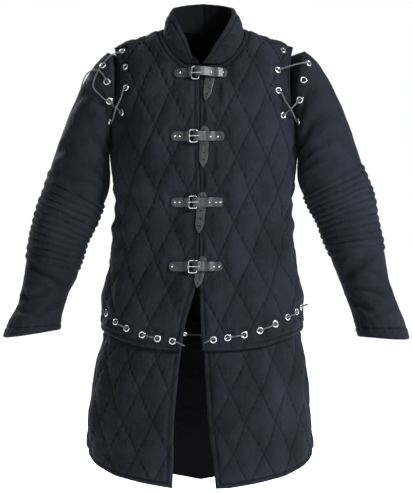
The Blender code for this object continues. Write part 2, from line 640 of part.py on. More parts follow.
def make_sleeve(name, table, look):
    """A sleeve cut flat and closed along the underarm."""
    place = sleeve_place(table)
    mirrored = table[0, 0] < 0
    columns = 18
    s = np.linspace(0, SLEEVE_ROUND, columns + 1)
    rib_rows = RIB_FROM + (RIB_TO - RIB_FROM) * np.arange(0, 2 * RIBS + 1) / (2 * RIBS)
    shares = np.concatenate([np.linspace(0.110, RIB_FROM - 0.04, 5), rib_rows,
                             np.linspace(RIB_TO + 0.035, 0.965, 8)])
    rows = SLEEVE_LONG * (1 - shares)
    rows = np.concatenate([[SLEEVE_LONG], rows])
    side = np.concatenate([[0.0], rows[::-1], [SLEEVE_TOP]])
    outline = np.concatenate([
        np.stack([s, np.zeros(columns + 1)], axis=-1),
        np.stack([np.full(len(rows), SLEEVE_ROUND), side[1:-1]], axis=-1),
        np.stack([s[::-1], np.full(columns + 1, SLEEVE_TOP)], axis=-1),
        np.stack([np.zeros(len(rows)), side[1:-1][::-1]], axis=-1)])
    gs, gh = np.meshgrid(s[1:-1], rows)
    outer = np.stack([gs.ravel(), gh.ravel()], axis=-1)
    inner_rows = np.concatenate([np.linspace(0.03, SLEEVE_LONG - 0.075, 10), [SLEEVE_LONG]])
    gs, gh = np.meshgrid(s[1:-1:2], inner_rows)
    inner = np.stack([gs.ravel(), gh.ravel()], axis=-1)

    def seen(q, h):
        return place(SLEEVE_ROUND - q, h) if mirrored else place(q, h)

    holes = round_holes(seen, [(a, SLEEVE_LONG - SLEEVE_HOLE_ROW) for a in sleeve_hole_ways()])

    def relief(_, h):
        return sleeve_relief(h)

    return tube_piece(name, outline, seen, SLEEVE_WALL, relief, outer, inner, holes, look)


def sleeve_hole_ways():
    """Ways round of the sleeve's holes, at the front and as many at the back."""
    turns = [180.0 - a for a in SLEEVE_HOLES] + [180.0 + a for a in SLEEVE_HOLES]
    return [t / 360.0 * SLEEVE_ROUND for t in turns]


def tube_piece(name, outline, place, wall, relief, outer, inner, holes, look):
    """Like a cloth piece, but its two long edges are sewn together."""
    p_out, t_out, ring, hole_count = cut_pattern(outline, holes, outer, [], 0.0005)
    p_in, t_in, _, _ = cut_pattern(outline, holes, inner, [], 0.0005)
    edge = ring + HOLE_SIDES * hole_count

    def shifted(points, distance):
        wrapped = np.where(points[:, 0] > SLEEVE_ROUND - 1e-9, 0.0, points[:, 0])
        h = np.clip(points[:, 1], 5e-4, SLEEVE_TOP - 5e-4)
        normal = outward(place, wrapped, h)
        return place(wrapped, points[:, 1]) + normal * distance[:, None]

    rise = relief(p_out[:, 0], p_out[:, 1])
    rise[ring:edge] = 0.0008
    top = shifted(p_out, rise)
    bottom = shifted(p_in, np.full(len(p_in), -wall))
    shift = len(top)
    faces = [tuple(t) for t in t_out] + [tuple(t[::-1] + shift) for t in t_in]
    for i in range(ring):
        a, b = i, (i + 1) % ring
        level = p_out[a, 1] == p_out[b, 1] and p_out[a, 1] in (0.0, SLEEVE_TOP)
        if level:
            faces += [(a, b, b + shift), (a, b + shift, a + shift)]
    for k in range(hole_count):
        base = ring + HOLE_SIDES * k
        for i in range(HOLE_SIDES):
            a, b = base + i, base + (i + 1) % HOLE_SIDES
            faces += [(a, b, b + shift), (a, b + shift, a + shift)]
    return add_solid(name, np.concatenate([top, bottom]), faces, look)


def collar_curves(count):
    """Neck seam and upper rim of the collar from the right front end to the left."""
    half = np.linspace(0, 1, count // 2 + 1)
    knot, _ = collar_seam(half)
    rim = np.stack(smooth_columns(COLLAR_ROWS[:, [0, 4, 5, 6]], half), axis=-1)
    lower, upper = [], []
    for side in (-1, 1):
        s = knot[:, 0].copy()
        s[0] = abs(CLOSURE_X) if side < 0 else 0.0
        seat = body_point(JACKET_FORM, s * side, knot[:, 1])
        if side > 0:
            seat[0, 0] = CLOSURE_X + 0.0012
        else:
            seat[0, 0] = CLOSURE_X - 0.0012
        fade = 1 - ease(half, 0.0, 0.5)
        top = rim * np.array([side, 1, 1])
        top[:, 0] += CLOSURE_X * fade
        lower.append(seat)
        upper.append(top)
    low = np.concatenate([lower[0], lower[1][:-1][::-1]])
    high = np.concatenate([upper[0], upper[1][:-1][::-1]])
    return low, high


def make_collar(look):
    """A standing collar: one padded band from front to front round the neck."""
    around, up = 36, 2
    low, high = collar_curves(around)
    rise = high - low
    from_end = np.minimum(np.arange(len(low)), np.arange(len(low))[::-1])[:, None]
    low = low + unit_rows(rise) * (0.0010 + 0.0018 * ease(6.0 - from_end, 0.0, 3.0))
    t = np.linspace(0, 1, up + 1)[None, :, None]
    bulge = np.sin(math.pi * t) * 0.0035
    middle = low[:, None, :] * (1 - t) + high[:, None, :] * t
    along = np.gradient(middle, axis=0)
    normal = unit_rows(np.cross(np.broadcast_to(rise[:, None, :], along.shape), along))
    centre = np.array([0.0, -0.01, 0.0])
    flip = np.sign(((middle - centre) * normal * np.array([1, 1, 0])).sum(axis=(1, 2)))
    normal *= np.where(flip < 0, -1.0, 1.0)[:, None, None]
    outer = middle + normal * bulge
    inner = middle - normal * COLLAR_WALL
    behind = ease(np.linspace(-1, 1, len(low))**2, 0.25, 0.04)
    inner[:, 0, 2] -= COLLAR_DROP * behind
    shape = (len(low), up + 1)
    index = np.arange(shape[0] * shape[1]).reshape(shape)
    shift = index.size
    faces = []
    for i in range(shape[0] - 1):
        for j in range(up):
            a, b, c, d = index[i, j], index[i + 1, j], index[i + 1, j + 1], index[i, j + 1]
            faces += [(a, b, c), (a, c, d)]
            faces += [(a + shift, c + shift, b + shift), (a + shift, d + shift, c + shift)]
    ring = ([(i, 0) for i in range(shape[0])] + [(shape[0] - 1, j) for j in range(1, up + 1)]
            + [(i, up) for i in range(shape[0] - 2, -1, -1)] + [(0, j) for j in range(up - 1, 0, -1)])
    for k, spot in enumerate(ring):
        a, b = index[spot], index[ring[(k + 1) % len(ring)]]
        faces += [(a, b, b + shift), (a, b + shift, a + shift)]
    return add_solid("collar", np.concatenate([outer.reshape(-1, 3), inner.reshape(-1, 3)]), faces, look)


def front_surface(x, z, lift):
    """Points over the front panels at these x and z, raised off the cloth."""
    x, z = np.broadcast_arrays(np.asarray(x, float), np.asarray(z, float))
    out = np.zeros(x.shape + (3,))
    for spot in np.ndindex(x.shape):
        s, h = pattern_spot(JACKET_FORM, float(x[spot]) + 1e-9, float(z[spot]))
        s_, h_ = np.array([s]), np.array([h])
        place = round_place(JACKET_FORM)
        out[spot] = (place(s_, h_) + outward(place, s_, h_) * lift)[0]
    return out


def leather(name, shape, lift, thick, look):
    """A leather strip lying on the front.

    shape has a row for each station: x and z of its lower and of its upper edge.
    """
    shape = np.array(shape)
    lift = np.broadcast_to(np.asarray(lift, float), (len(shape),))
    low = np.stack([front_surface(x, z, f) for (x, z), f in zip(shape[:, :2], lift)])
    high = np.stack([front_surface(x, z, f) for (x, z), f in zip(shape[:, 2:], lift)])
    push = np.array([0.0, -thick, 0.0])
    points = np.concatenate([low, high, low + push, high + push])
    n = len(shape)
    faces = []
    for i in range(n - 1):
        a, b, c, d = i, i + 1, n + i + 1, n + i
        faces += [(a, d, c, b), (a + 2 * n, b + 2 * n, c + 2 * n, d + 2 * n)]
        faces += [(a, b, b + 2 * n, a + 2 * n), (d, d + 2 * n, c + 2 * n, c)]
    for i in (0, n - 1):
        faces.append((i, n + i, 3 * n + i, 2 * n + i))
    return add_solid(name, points, faces, look, smooth=False)


def swept_ring(name, path, section, look, closed=True):
    """A closed ring or a capped rod with a round section along a path."""
    path = np.asarray(path, float)
    n, m = len(path), section[1]
    ahead = np.roll(path, -1, axis=0) - np.roll(path, 1, axis=0)
    if not closed:
        ahead[0], ahead[-1] = path[1] - path[0], path[-1] - path[-2]
    ahead = unit_rows(ahead)
    side = unit_rows(np.cross(ahead, np.array([0.0, -1.0, 0.02])))
    other = np.cross(ahead, side)
    turn = np.arange(m) / m * math.tau + math.pi / m
    ring = (path[:, None, :] + section[0] * (np.cos(turn)[None, :, None] * side[:, None, :]
                                              + np.sin(turn)[None, :, None] * other[:, None, :]))
    faces = []
    for i in range(n if closed else n - 1):
        k = (i + 1) % n
        faces += [(i * m + j, i * m + (j + 1) % m, k * m + (j + 1) % m, k * m + j) for j in range(m)]
    if not closed:
        faces += [tuple(range(m)), tuple((n - 1) * m + j for j in reversed(range(m)))]
    return add_solid(name, ring.reshape(-1, 3), faces, look)


def make_closure(row, leather_look, metal_look):
    """One buckled strap: tab with the buckle, strap with its looped end and hanging tail."""
    tag, z, tab_out, tab_in, strap_in, strap_out, tail_x, tail_top, tip_x, tip_z = row
    half = STRAP_HEIGHT / 2
    stations = [tab_out, tab_out + 0.010, tab_in - 0.010, tab_in - 0.004, tab_in]
    inset = [0.005, 0.0, 0.0, 0.0, 0.0]
    raised = [CLEAR, CLEAR, CLEAR, 0.0056, 0.0085 - STRAP_THICK / 2]
    leather("strap_tab_" + tag, [(x, z - half + c, x, z + half - c) for x, c in zip(stations, inset)],
            raised, STRAP_THICK, leather_look)
    y = float(front_surface(np.array(tab_in), np.array(z), 0.0)[1]) - 0.0085
    left, right, high, soft = tab_in + 0.0014, strap_in + 0.0048, half + 0.0026, 0.0024
    corners = [(left + soft, -high), (right - soft, -high), (right, -high + soft), (right, high - soft),
               (right - soft, high), (left + soft, high), (left, high - soft), (left, -high + soft)]
    path = [(x, y, z + dz) for x, dz in corners]
    swept_ring("buckle_" + tag, path, (BUCKLE_BAR, 6), metal_look)
    tail_lift = CLEAR + 0.0002
    over = CLEAR + STRAP_THICK + 0.0016
    bar_lift = 0.0085 + BUCKLE_BAR + 0.0038
    x_list = np.array([strap_in - 0.0010, strap_in + 0.0078, max(tail_x, strap_in + 0.0150),
                       tail_x + 0.0125, min(tail_x + 0.021, strap_out - 0.008), strap_out])
    lifts = [bar_lift, bar_lift, over + 0.0012, over, CLEAR, CLEAR]
    leather("strap_" + tag, [(x, z - half, x, z + half) for x in x_list], lifts, STRAP_THICK, leather_look)
    wide = STRAP_HEIGHT / 2
    d = np.array([tip_x - tail_x, tip_z - tail_top])
    d = d / np.hypot(*d)
    across = np.array([-d[1], d[0]])
    length = math.hypot(tip_x - tail_x, tip_z - tail_top)
    shares = [(0.0, 0.12), (0.010 / length, 0.62), (0.020 / length, 1.0), (0.45, 0.98), (0.62, 0.95),
              (1 - 0.016 / length, 0.90), (1 - 0.007 / length, 0.60), (1.0, 0.12)]
    shape = []
    for share, size in shares:
        c = np.array([tail_x, tail_top]) + d * length * share
        a, b = c - across * wide * size, c + across * wide * size
        shape.append((a[0], a[1], b[0], b[1]))
    leather("strap_tail_" + tag, shape, tail_lift, STRAP_THICK - 0.0004, leather_look)


def eyelet(name, centre, normal, look):
    """A pressed metal ring: flat foot, crowned top."""
    normal = Vector(normal).normalized()
    side = normal.orthogonal().normalized()
    other = normal.cross(side)
    inner, crown = EYELET_HOLE - 0.0004, (EYELET_HOLE + EYELET_OUTER) / 2
    profile = [(inner, 0.0), (EYELET_OUTER, 0.0), (crown, EYELET_RISE)]
    points, faces = [], []
    n = 8
    for k in range(n):
        a = k * math.tau / n
        ray = side * math.cos(a) + other * math.sin(a)
        for radius, rise in profile:
            points.append(Vector(centre) + ray * radius + normal * (rise + 0.0009))
    for k in range(n):
        a, b = 3 * k, 3 * ((k + 1) % n)
        for j in range(3):
            faces.append((a + j, b + j, b + (j + 1) % 3, a + (j + 1) % 3))
    return add_solid(name, points, faces, look)


def lace(name, path, look):
    """A round cord through the given points, as a curve tube."""
    path = np.asarray(path, float)
    curve = bpy.data.curves.new(name, "CURVE")
    curve.dimensions = "3D"
    curve.resolution_u = 1
    curve.render_resolution_u = 0
    curve.bevel_depth = LACE_RADIUS
    curve.bevel_resolution = 1
    curve.use_fill_caps = True
    line = curve.splines.new("POLY")
    line.points.add(len(path) - 1)
    line.points.foreach_set("co", np.column_stack([path, np.ones(len(path))]).ravel())
    thing = bpy.data.objects.new(name, curve)
    bpy.context.scene.collection.objects.link(thing)
    curve.materials.append(new_material(name + "_look", *look))
    return thing


def threaded(holes, first_out, under, hump, arched=False, rest=ON_EYELET):
    """Points of a lace through holes in turn, outside and inside by turns.

    holes are pairs of centre and outward direction; hump lifts the middle of an outer run,
    and an arched run is lifted to the front, over the lace that it crosses.
    """
    points = []
    outside = first_out
    for k, (centre, normal) in enumerate(holes):
        other = k - 1 if outside else k + 1
        sign = 1.0
        if not 0 <= other < len(holes):
            other, sign = 2 * k - other, -1.0
        ahead = np.asarray(holes[other][0]) - centre
        ahead = ahead - normal * (ahead @ normal)
        ahead = unit_rows(ahead) * LACE_REST * sign
        steps = [centre + ahead + normal * rest]
        steps += [centre + normal * step for step in (0.0030, -under * 0.75, -under)]
        if not outside:
            steps = steps[::-1]
        if k:
            last, before = holes[k - 1]
            mean = unit_rows(np.asarray(before) + normal)
            lift = LACE_OVER + hump if outside else -under
            if arched:
                points += [last + (centre - last) * share + np.array([0.0, -rise, 0.0])
                           for share, rise in ((0.32, 0.0125), (0.60, 0.0172))]
            else:
                points.append((last + centre) / 2 + mean * lift)
        points += steps
        outside = not outside
    return points


def under_holes(body, spots, back):
    """Holes of the skirt that lie straight under the jacket's holes."""
    out = []
    for s, h in spots:
        centre, normal = hole_frames(body, [(s, h)])
        x, _, z = (centre - normal * 0.0095)[0]
        way, level = pattern_spot(SKIRT_FORM, float(x), float(z), back)
        if back and way < 0:
            way += 2 * HALF_ROUND
        out.append((way, level))
    return round_holes(round_place(SKIRT_FORM), out)


def round_holes(place, spots):
    """Each hole with its radii in the pattern, so that it is round on the cloth."""
    out = []
    e = 4e-4
    for s, h in spots:
        s_, h_ = np.array([s]), np.array([h])
        along = np.linalg.norm(place(s_ + e, h_) - place(s_ - e, h_)) / (2 * e)
        up = np.linalg.norm(place(s_, h_ + e) - place(s_, h_ - e)) / (2 * e)
        out.append((s, h, EYELET_HOLE / float(along), EYELET_HOLE / float(up)))
    return out


def hole_frames(place, spots):
    """Centre and outward direction of each hole."""
    s, h = np.array(spots).T
    return place(s, h), outward(place, s, h)


def free_end(hole):
    """Free end of the right shoulder's lace, draped over the sleeve and hanging behind it."""
    centre, normal = hole
    place = sleeve_place(SLEEVE_RIGHT)
    points = [centre - normal * 0.0075, centre - normal * 0.004, centre + normal * 0.003,
              centre + normal * 0.0062, centre + normal * 0.0066 + np.array([-0.009, 0.001, 0.002])]
    for turn, h in ((118.0, 0.585), (135.0, 0.572), (152.0, 0.556), (170.0, 0.540),
                    (188.0, 0.524), (206.0, 0.508), (220.0, 0.493)):
        s_, h_ = np.array([turn / 360.0 * SLEEVE_ROUND]), np.array([h])
        out = outward(place, s_, h_)[0]
        out = out if out @ (place(s_, h_)[0] - np.array([-0.24, 0.0, place(s_, h_)[0][2]])) > 0 else -out
        points.append(place(s_, h_)[0] + out * 0.0045)
    return points


def main():
    for thing in list(bpy.data.objects):
        bpy.data.objects.remove(thing)
    cloth = ((0.017, 0.018, 0.022), 0.92)
    hide = ((0.060, 0.056, 0.058), 0.55)
    metal = ((0.62, 0.62, 0.63), 0.28, 1.0)
    cord_look = ((0.050, 0.050, 0.054), 0.8)
    body = round_place(JACKET_FORM)

    waist_r = [pattern_spot(JACKET_FORM, x, z) for x, z in WAIST_RIGHT]
    waist_l = [pattern_spot(JACKET_FORM, x, z) for x, z in WAIST_LEFT]
    arm_r = [pattern_spot(JACKET_FORM, x, z) for x, z in SHOULDER_RIGHT]
    arm_l = [pattern_spot(JACKET_FORM, x, z) for x, z in SHOULDER_LEFT]
    level = np.interp(WAIST_BACK, JACKET_HEM[:, 0], JACKET_HEM[:, 1]) + 0.024
    waist_b = [(s, float(h)) for s, h in zip(WAIST_BACK, level)]
    waist_b += [(2 * HALF_ROUND - s, h) for s, h in waist_b[::-1]]
    arm_b = [(HALF_ROUND - s, h + 0.012) for s, h in arm_l]
    arm_b += [(2 * HALF_ROUND - s, h) for s, h in arm_b]

    strap_flats = []
    for row in STRAPS:
        s0 = pattern_spot(JACKET_FORM, row[2] - 0.003, row[1])[0]
        s1 = pattern_spot(JACKET_FORM, row[5] + 0.003, row[1])[0]
        strap_flats.append(((s0 + s1) / 2, row[1], (s1 - s0) / 2, 0.0125))
        mid = (row[7] + row[9]) / 2
        strap_flats.append(((row[6] + row[8]) / 2, mid, 0.018, (row[7] - row[9]) / 2 + 0.002))
    for side, name, spots in ((-1, "body_front_right", waist_r + arm_r),
                              (1, "body_front_left", waist_l + arm_l)):
        holes = round_holes(body, spots)
        flats = strap_flats + [(s, h, PRESSED, 0.0) for s, h in spots]
        make_panel(name, front_outline(side), JACKET_FORM, JACKET_WALL, JACKET_PUFF, JACKET_DIAMOND,
                   holes, flats, cloth)
    spots = waist_b + arm_b
    make_panel("body_back", back_outline(), JACKET_FORM, JACKET_WALL, JACKET_PUFF, JACKET_DIAMOND,
               round_holes(body, spots), [(s, h, PRESSED, 0.0) for s, h in spots], cloth)
    for which, name, spots in ((-1, "skirt_front_right", waist_r), (1, "skirt_front_left", waist_l),
                               (0, "skirt_back", waist_b)):
        make_panel(name, skirt_outline(which), SKIRT_FORM, SKIRT_WALL, SKIRT_PUFF, SKIRT_DIAMOND,
                   under_holes(body, spots, which == 0), [], cloth)
    make_collar(cloth)
    make_sleeve("sleeve_right", SLEEVE_RIGHT, cloth)
    make_sleeve("sleeve_left", SLEEVE_LEFT, cloth)
    for row in STRAPS:
        make_closure(row, hide, metal)

    ways = sleeve_hole_ways()
    front_ways = [(w, SLEEVE_LONG - SLEEVE_HOLE_ROW) for w in ways[:4]]
    sleeves = {}
    for tag, table in (("right", SLEEVE_RIGHT), ("left", SLEEVE_LEFT)):
        place = sleeve_place(table)
        at, out = hole_frames(place, front_ways)
        out = out * np.sign((out * (at - at.mean(axis=0) - np.array([0, 0.1, 0]))).sum(axis=1))[:, None]
        sleeves[tag] = (at + out * 0.0008, out)
    rows = {"waist_right": hole_frames(body, waist_r), "waist_left": hole_frames(body, waist_l),
            "shoulder_right": hole_frames(body, arm_r), "shoulder_left": hole_frames(body, arm_l),
            "sleeve_right": sleeves["right"], "sleeve_left": sleeves["left"]}
    for tag, (centres, normals) in rows.items():
        for k, (centre, normal) in enumerate(zip(centres, normals), 1):
            if not (tag == "waist_left" and k > 6) and not (tag == "waist_right" and k < 2):
                eyelet("eyelet_" + tag + "_" + str(k), centre, normal, metal)

    def pairs(tag):
        return list(zip(*rows[tag]))

    right, left = pairs("waist_right"), pairs("waist_left")
    edge = np.array([CLOSURE_X - 0.030, -0.1310, -0.6560])
    start = right[0][0] + right[0][1] * 0.006 + np.array([-0.004, 0.0, 0.010])
    path = [start] + threaded(right, True, 0.0165, 0.0035) + [edge + np.array([0.0, -0.004, 0.0])]
    lace("lace_waist_right", path, cord_look)
    edge = np.array([CLOSURE_X + 0.0095, -0.1350, -0.6510])
    tip = left[-1][0] + left[-1][1] * 0.012 + np.array([0.004, 0.0, 0.006])
    lace("lace_waist_left", [edge] + threaded(left, True, 0.0165, 0.0035) + [tip], cord_look)
    behind = list(zip(*hole_frames(body, waist_b)))
    lace("lace_waist_back", threaded(behind, False, 0.0165, 0.0085, rest=ON_CLOTH), cord_look)
    for tag, side in (("right", -1), ("left", 1)):
        coat, arm = pairs("shoulder_" + tag), pairs("sleeve_" + tag)
        first = threaded([coat[0] if side < 0 else coat[1], arm[0]], False, 0.0075, 0.004)
        second = threaded([arm[2], coat[3]], False, 0.0075, 0.0022)
        lace("lace_shoulder_" + tag + "_1", first + second, cord_look)
        over = threaded([coat[2], arm[3]], False, 0.0075, 0.0, True, 0.0052)
        lace("lace_shoulder_" + tag + "_2", over, cord_look)
    lace("lace_end_right", free_end(pairs("sleeve_right")[1]), cord_look)


main()
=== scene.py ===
"""Looks of a padded, diamond-quilted coat with laced sleeves, a laced skirt and buckled straps.

Metres, Z up, front towards -Y, the wearer's left towards +X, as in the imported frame.
A cloth piece is worked out on its flat pattern, with s the way round from the front's middle
and h the height along the cloth, and put on the figure as the part's own solids are.
"""
import math

import bpy
import numpy as np
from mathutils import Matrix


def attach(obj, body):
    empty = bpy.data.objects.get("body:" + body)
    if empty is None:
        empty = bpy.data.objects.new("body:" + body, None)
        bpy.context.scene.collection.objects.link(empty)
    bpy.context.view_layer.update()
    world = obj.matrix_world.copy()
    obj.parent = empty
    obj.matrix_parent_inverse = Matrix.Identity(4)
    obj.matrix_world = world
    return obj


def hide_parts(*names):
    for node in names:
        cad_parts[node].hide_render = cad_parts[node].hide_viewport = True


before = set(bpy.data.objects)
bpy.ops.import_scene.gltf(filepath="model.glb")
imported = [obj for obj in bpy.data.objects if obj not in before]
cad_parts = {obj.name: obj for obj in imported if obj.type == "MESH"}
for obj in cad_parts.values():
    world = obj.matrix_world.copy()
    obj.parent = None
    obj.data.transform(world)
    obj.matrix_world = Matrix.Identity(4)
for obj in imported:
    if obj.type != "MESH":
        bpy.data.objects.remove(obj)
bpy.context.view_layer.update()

# Sizes of the coat, as in the part, but that puffs stand higher and laces are thicker here
HALF_ROUND = 0.53          # half of the way round
SQUARENESS = 2.4           # power of the section's superellipse
CLOSURE_X = -0.008
SEAM_GAP = 0.0004          # half of the gap between neighbouring pieces
JACKET_WALL, SKIRT_WALL, SLEEVE_WALL, COLLAR_WALL = 0.0045, 0.0040, 0.0040, 0.0050
JACKET_PUFF, SKIRT_PUFF, RIB_PUFF = 0.0062, 0.0052, 0.0044
JACKET_DIAMOND, SKIRT_DIAMOND = (0.068, 0.136), (0.055, 0.125)
SHOULDER_TOP, SHOULDER_SLOPE = 0.033, 0.376
SIDE_SEAM = 0.2646
EYELET_OUTER, EYELET_HOLE, EYELET_RISE = 0.0074, 0.0046, 0.0018
PRESSED = 0.0100           # radius that an eyelet presses flat
HOLE_KEPT, HOLE_PUSHED = 0.92, 1.12        # cells and points kept out of a hole, in its radii
LACE_RADIUS, LACE_STEP = 0.0014, 0.0019
LACE_OVER, LACE_REST = 0.0056, 0.0059      # height over a hole, reach beside it
ON_EYELET, ON_CLOTH = 0.0043, 0.0019       # height of a lace that lies on either
WAIST_UNDER, SHOULDER_UNDER = 0.0165, 0.0075    # depth of a lace behind the cloth
BUCKLE_BAR, BUCKLE_RISE = 0.0013, 0.0085   # the frame's radius and height over the cloth
STRAP_HEIGHT, STRAP_THICK = 0.0195, 0.0022
CLEAR = 0.0006             # air under what lies on the cloth
EDGE_STITCH, CUFF_STITCH, HEAD_STITCH, BINDING = 0.0085, 0.021, 0.009, 0.0092
SKIRT_TUCK = 0.056         # how far the skirt goes on under the hem
SLEEVE_ROUND, SLEEVE_LONG = 0.40, 0.62
SLEEVE_TUCK = 0.022        # how far the sleeve's head goes on inside the armhole
SLEEVE_TOP = SLEEVE_LONG + SLEEVE_TUCK
HEAD_IN, HEAD_FLAT, HEAD_LOW = 0.012, 0.56, 0.26   # inwards, and less depth and height
COLLAR_DROP = 0.0042
RIBS, RIB_FROM, RIB_TO = 12, 0.36, 0.68    # their number and shares of the way to the cuff
SLEEVE_HOLE_ROW = 0.034    # how far the holes lie from the sleeve's top edge
WEAVE = 0.0013             # thread spacing, about three times too coarse so that it shows
WAVE_UNIT = 0.314          # a wave texture's scale for one band a metre
CAMERA_AT, CAMERA_LENS = (0.006, -4.5, -0.454), 156.5
FLOOR_HALF, FLOOR_LOW = 60.0, -1.06
LIT_POINT = (0.0, 0.0, -0.45)
# name, place, power in watts, width
LIGHTS = [
    ("key", (2.5, -1.7, 1.3), 225.0, 0.8), ("fill", (-2.8, -2.4, 1.4), 19.0, 1.2),
    ("back", (-1.8, 2.6, 1.2), 120.0, 1.2), ("top", (0.4, -0.4, 2.8), 10.0, 1.6),
]

# height, half width, depth of the front, depth of the back, sideways shift
JACKET_FORM = np.array([
    (-0.700, 0.2120, 0.1310, 0.1440, -0.002), (-0.640, 0.2115, 0.1290, 0.1410, -0.002),
    (-0.600, 0.2095, 0.1265, 0.1375, -0.002), (-0.561, 0.2075, 0.1235, 0.1335, -0.001),
    (-0.527, 0.2000, 0.1200, 0.1280, -0.001), (-0.467, 0.1905, 0.1140, 0.1180, -0.001),
    (-0.406, 0.1850, 0.1110, 0.1130, 0.000), (-0.376, 0.1830, 0.1115, 0.1130, 0.001),
    (-0.328, 0.1870, 0.1150, 0.1150, 0.001), (-0.250, 0.1925, 0.1215, 0.1190, 0.001),
    (-0.180, 0.1950, 0.1220, 0.1200, 0.001), (-0.085, 0.1950, 0.1000, 0.1120, 0.001),
    (0.000, 0.1950, 0.0740, 0.0980, 0.001), (0.060, 0.1950, 0.0600, 0.0850, 0.001),
])
SKIRT_FORM = np.array([
    (-0.980, 0.2350, 0.1560, 0.1720, -0.005), (-0.900, 0.2340, 0.1520, 0.1660, -0.005),
    (-0.845, 0.2335, 0.1475, 0.1600, -0.007), (-0.803, 0.2295, 0.1430, 0.1550, -0.008),
    (-0.742, 0.2235, 0.1370, 0.1480, -0.006), (-0.700, 0.2180, 0.1305, 0.1430, -0.005),
    (-0.668, 0.2105, 0.1215, 0.1340, -0.003), (-0.645, 0.2035, 0.1200, 0.1315, -0.002),
    (-0.600, 0.2010, 0.1165, 0.1270, -0.002), (-0.560, 0.1985, 0.1140, 0.1235, -0.002),
])
# way round from the front's middle, height of the hem
JACKET_HEM = np.array([
    (0.000, -0.666), (0.060, -0.666), (0.120, -0.659), (0.170, -0.645),
    (0.215, -0.632), (0.265, -0.623), (0.320, -0.630), (0.400, -0.655), (0.530, -0.672),
])
SKIRT_HEM = np.array([
    (0.000, -0.947), (0.050, -0.945), (0.100, -0.936), (0.150, -0.924), (0.200, -0.905),
    (0.240, -0.887), (0.265, -0.878), (0.320, -0.892), (0.400, -0.932), (0.530, -0.961),
])
# height, way round of the right and of the left front's edge
FRONT_EDGES = np.array([
    (-0.700, -0.0420, 0.0010), (-0.655, -0.0390, -0.0003), (-0.600, -0.0300, -0.0030),
    (-0.550, -0.0170, -0.0055), (-0.510, -0.0087, -0.0073), (-0.080, -0.0087, -0.0073),
])
SKIRT_EDGES = np.array([
    (-0.960, -0.0490, 0.0270), (-0.850, -0.0455, 0.0190), (-0.750, -0.0420, 0.0110),
    (-0.640, -0.0385, 0.0035),
])
# share of the way from the front to the back, neck seam's x and height (9 marks the
# shoulder ridge), 1 for the back, the rim's x, y and z
COLLAR_ROWS = np.array([
    (0.00, 0.0010, -0.0815, 0, 0.0100, -0.0960, -0.0730),
    (0.15, 0.0340, -0.080, 0, 0.0190, -0.0900, -0.0570),
    (0.30, 0.0620, -0.060, 0, 0.0300, -0.0760, -0.0310),
    (0.45, 0.0800, -0.033, 0, 0.0450, -0.0560, -0.0040),
    (0.58, 0.0865, -0.012, 0, 0.0580, -0.0330, 0.0210),
    (0.68, 0.0840, 9.000, 0, 0.0660, -0.0080, 0.0390),
    (0.78, 0.0680, 0.001, 1, 0.0650, 0.0230, 0.0480),
    (0.89, 0.0350, 0.000, 1, 0.0430, 0.0560, 0.0570),
    (1.00, 0.0000, -0.002, 1, 0.0000, 0.0720, 0.0630),
])
# way round and height of the armhole's front; 9 marks the shoulder ridge
ARMHOLE = np.array([
    (0.2646, -0.225), (0.2480, -0.221), (0.2260, -0.204), (0.2080, -0.170),
    (0.2000, -0.130), (0.2020, -0.080), (0.2110, -0.030), (0.2190, 9.000),
])
# x and z of the sleeve's outer and inner line, half depth, y, bow towards the body. Under
# the armhole the inner line lies closer to the body than the part's, so that no light shows.
SLEEVE_RIGHT = np.array([
    (-0.2010, -0.047, -0.1995, -0.226, 0.0670, 0.003, 0.0135),
    (-0.2180, -0.064, -0.1990, -0.246, 0.0700, 0.003, 0.0110),
    (-0.2460, -0.103, -0.1975, -0.272, 0.0730, 0.003, 0.0050),
    (-0.2760, -0.168, -0.1962, -0.300, 0.0730, 0.002, 0.000),
    (-0.3010, -0.233, -0.1972, -0.328, 0.0710, 0.001, 0.000),
    (-0.3190, -0.288, -0.2085, -0.362, 0.0680, 0.000, 0.000),
    (-0.3360, -0.340, -0.2200, -0.395, 0.0650, -0.002, 0.000),
    (-0.3490, -0.381, -0.2345, -0.428, 0.0620, -0.005, 0.000),
    (-0.3580, -0.418, -0.2480, -0.459, 0.0590, -0.010, 0.000),
    (-0.3650, -0.458, -0.2560, -0.489, 0.0560, -0.016, 0.000),
    (-0.3710, -0.505, -0.2660, -0.521, 0.0530, -0.025, 0.000),
    (-0.3765, -0.537, -0.2800, -0.549, 0.0480, -0.034, 0.000),
    (-0.3830, -0.570, -0.2900, -0.579, 0.0460, -0.043, 0.000),
    (-0.4000, -0.603, -0.2950, -0.603, 0.0500, -0.052, 0.000),
    (-0.4130, -0.641, -0.2980, -0.626, 0.0530, -0.060, 0.000),
])
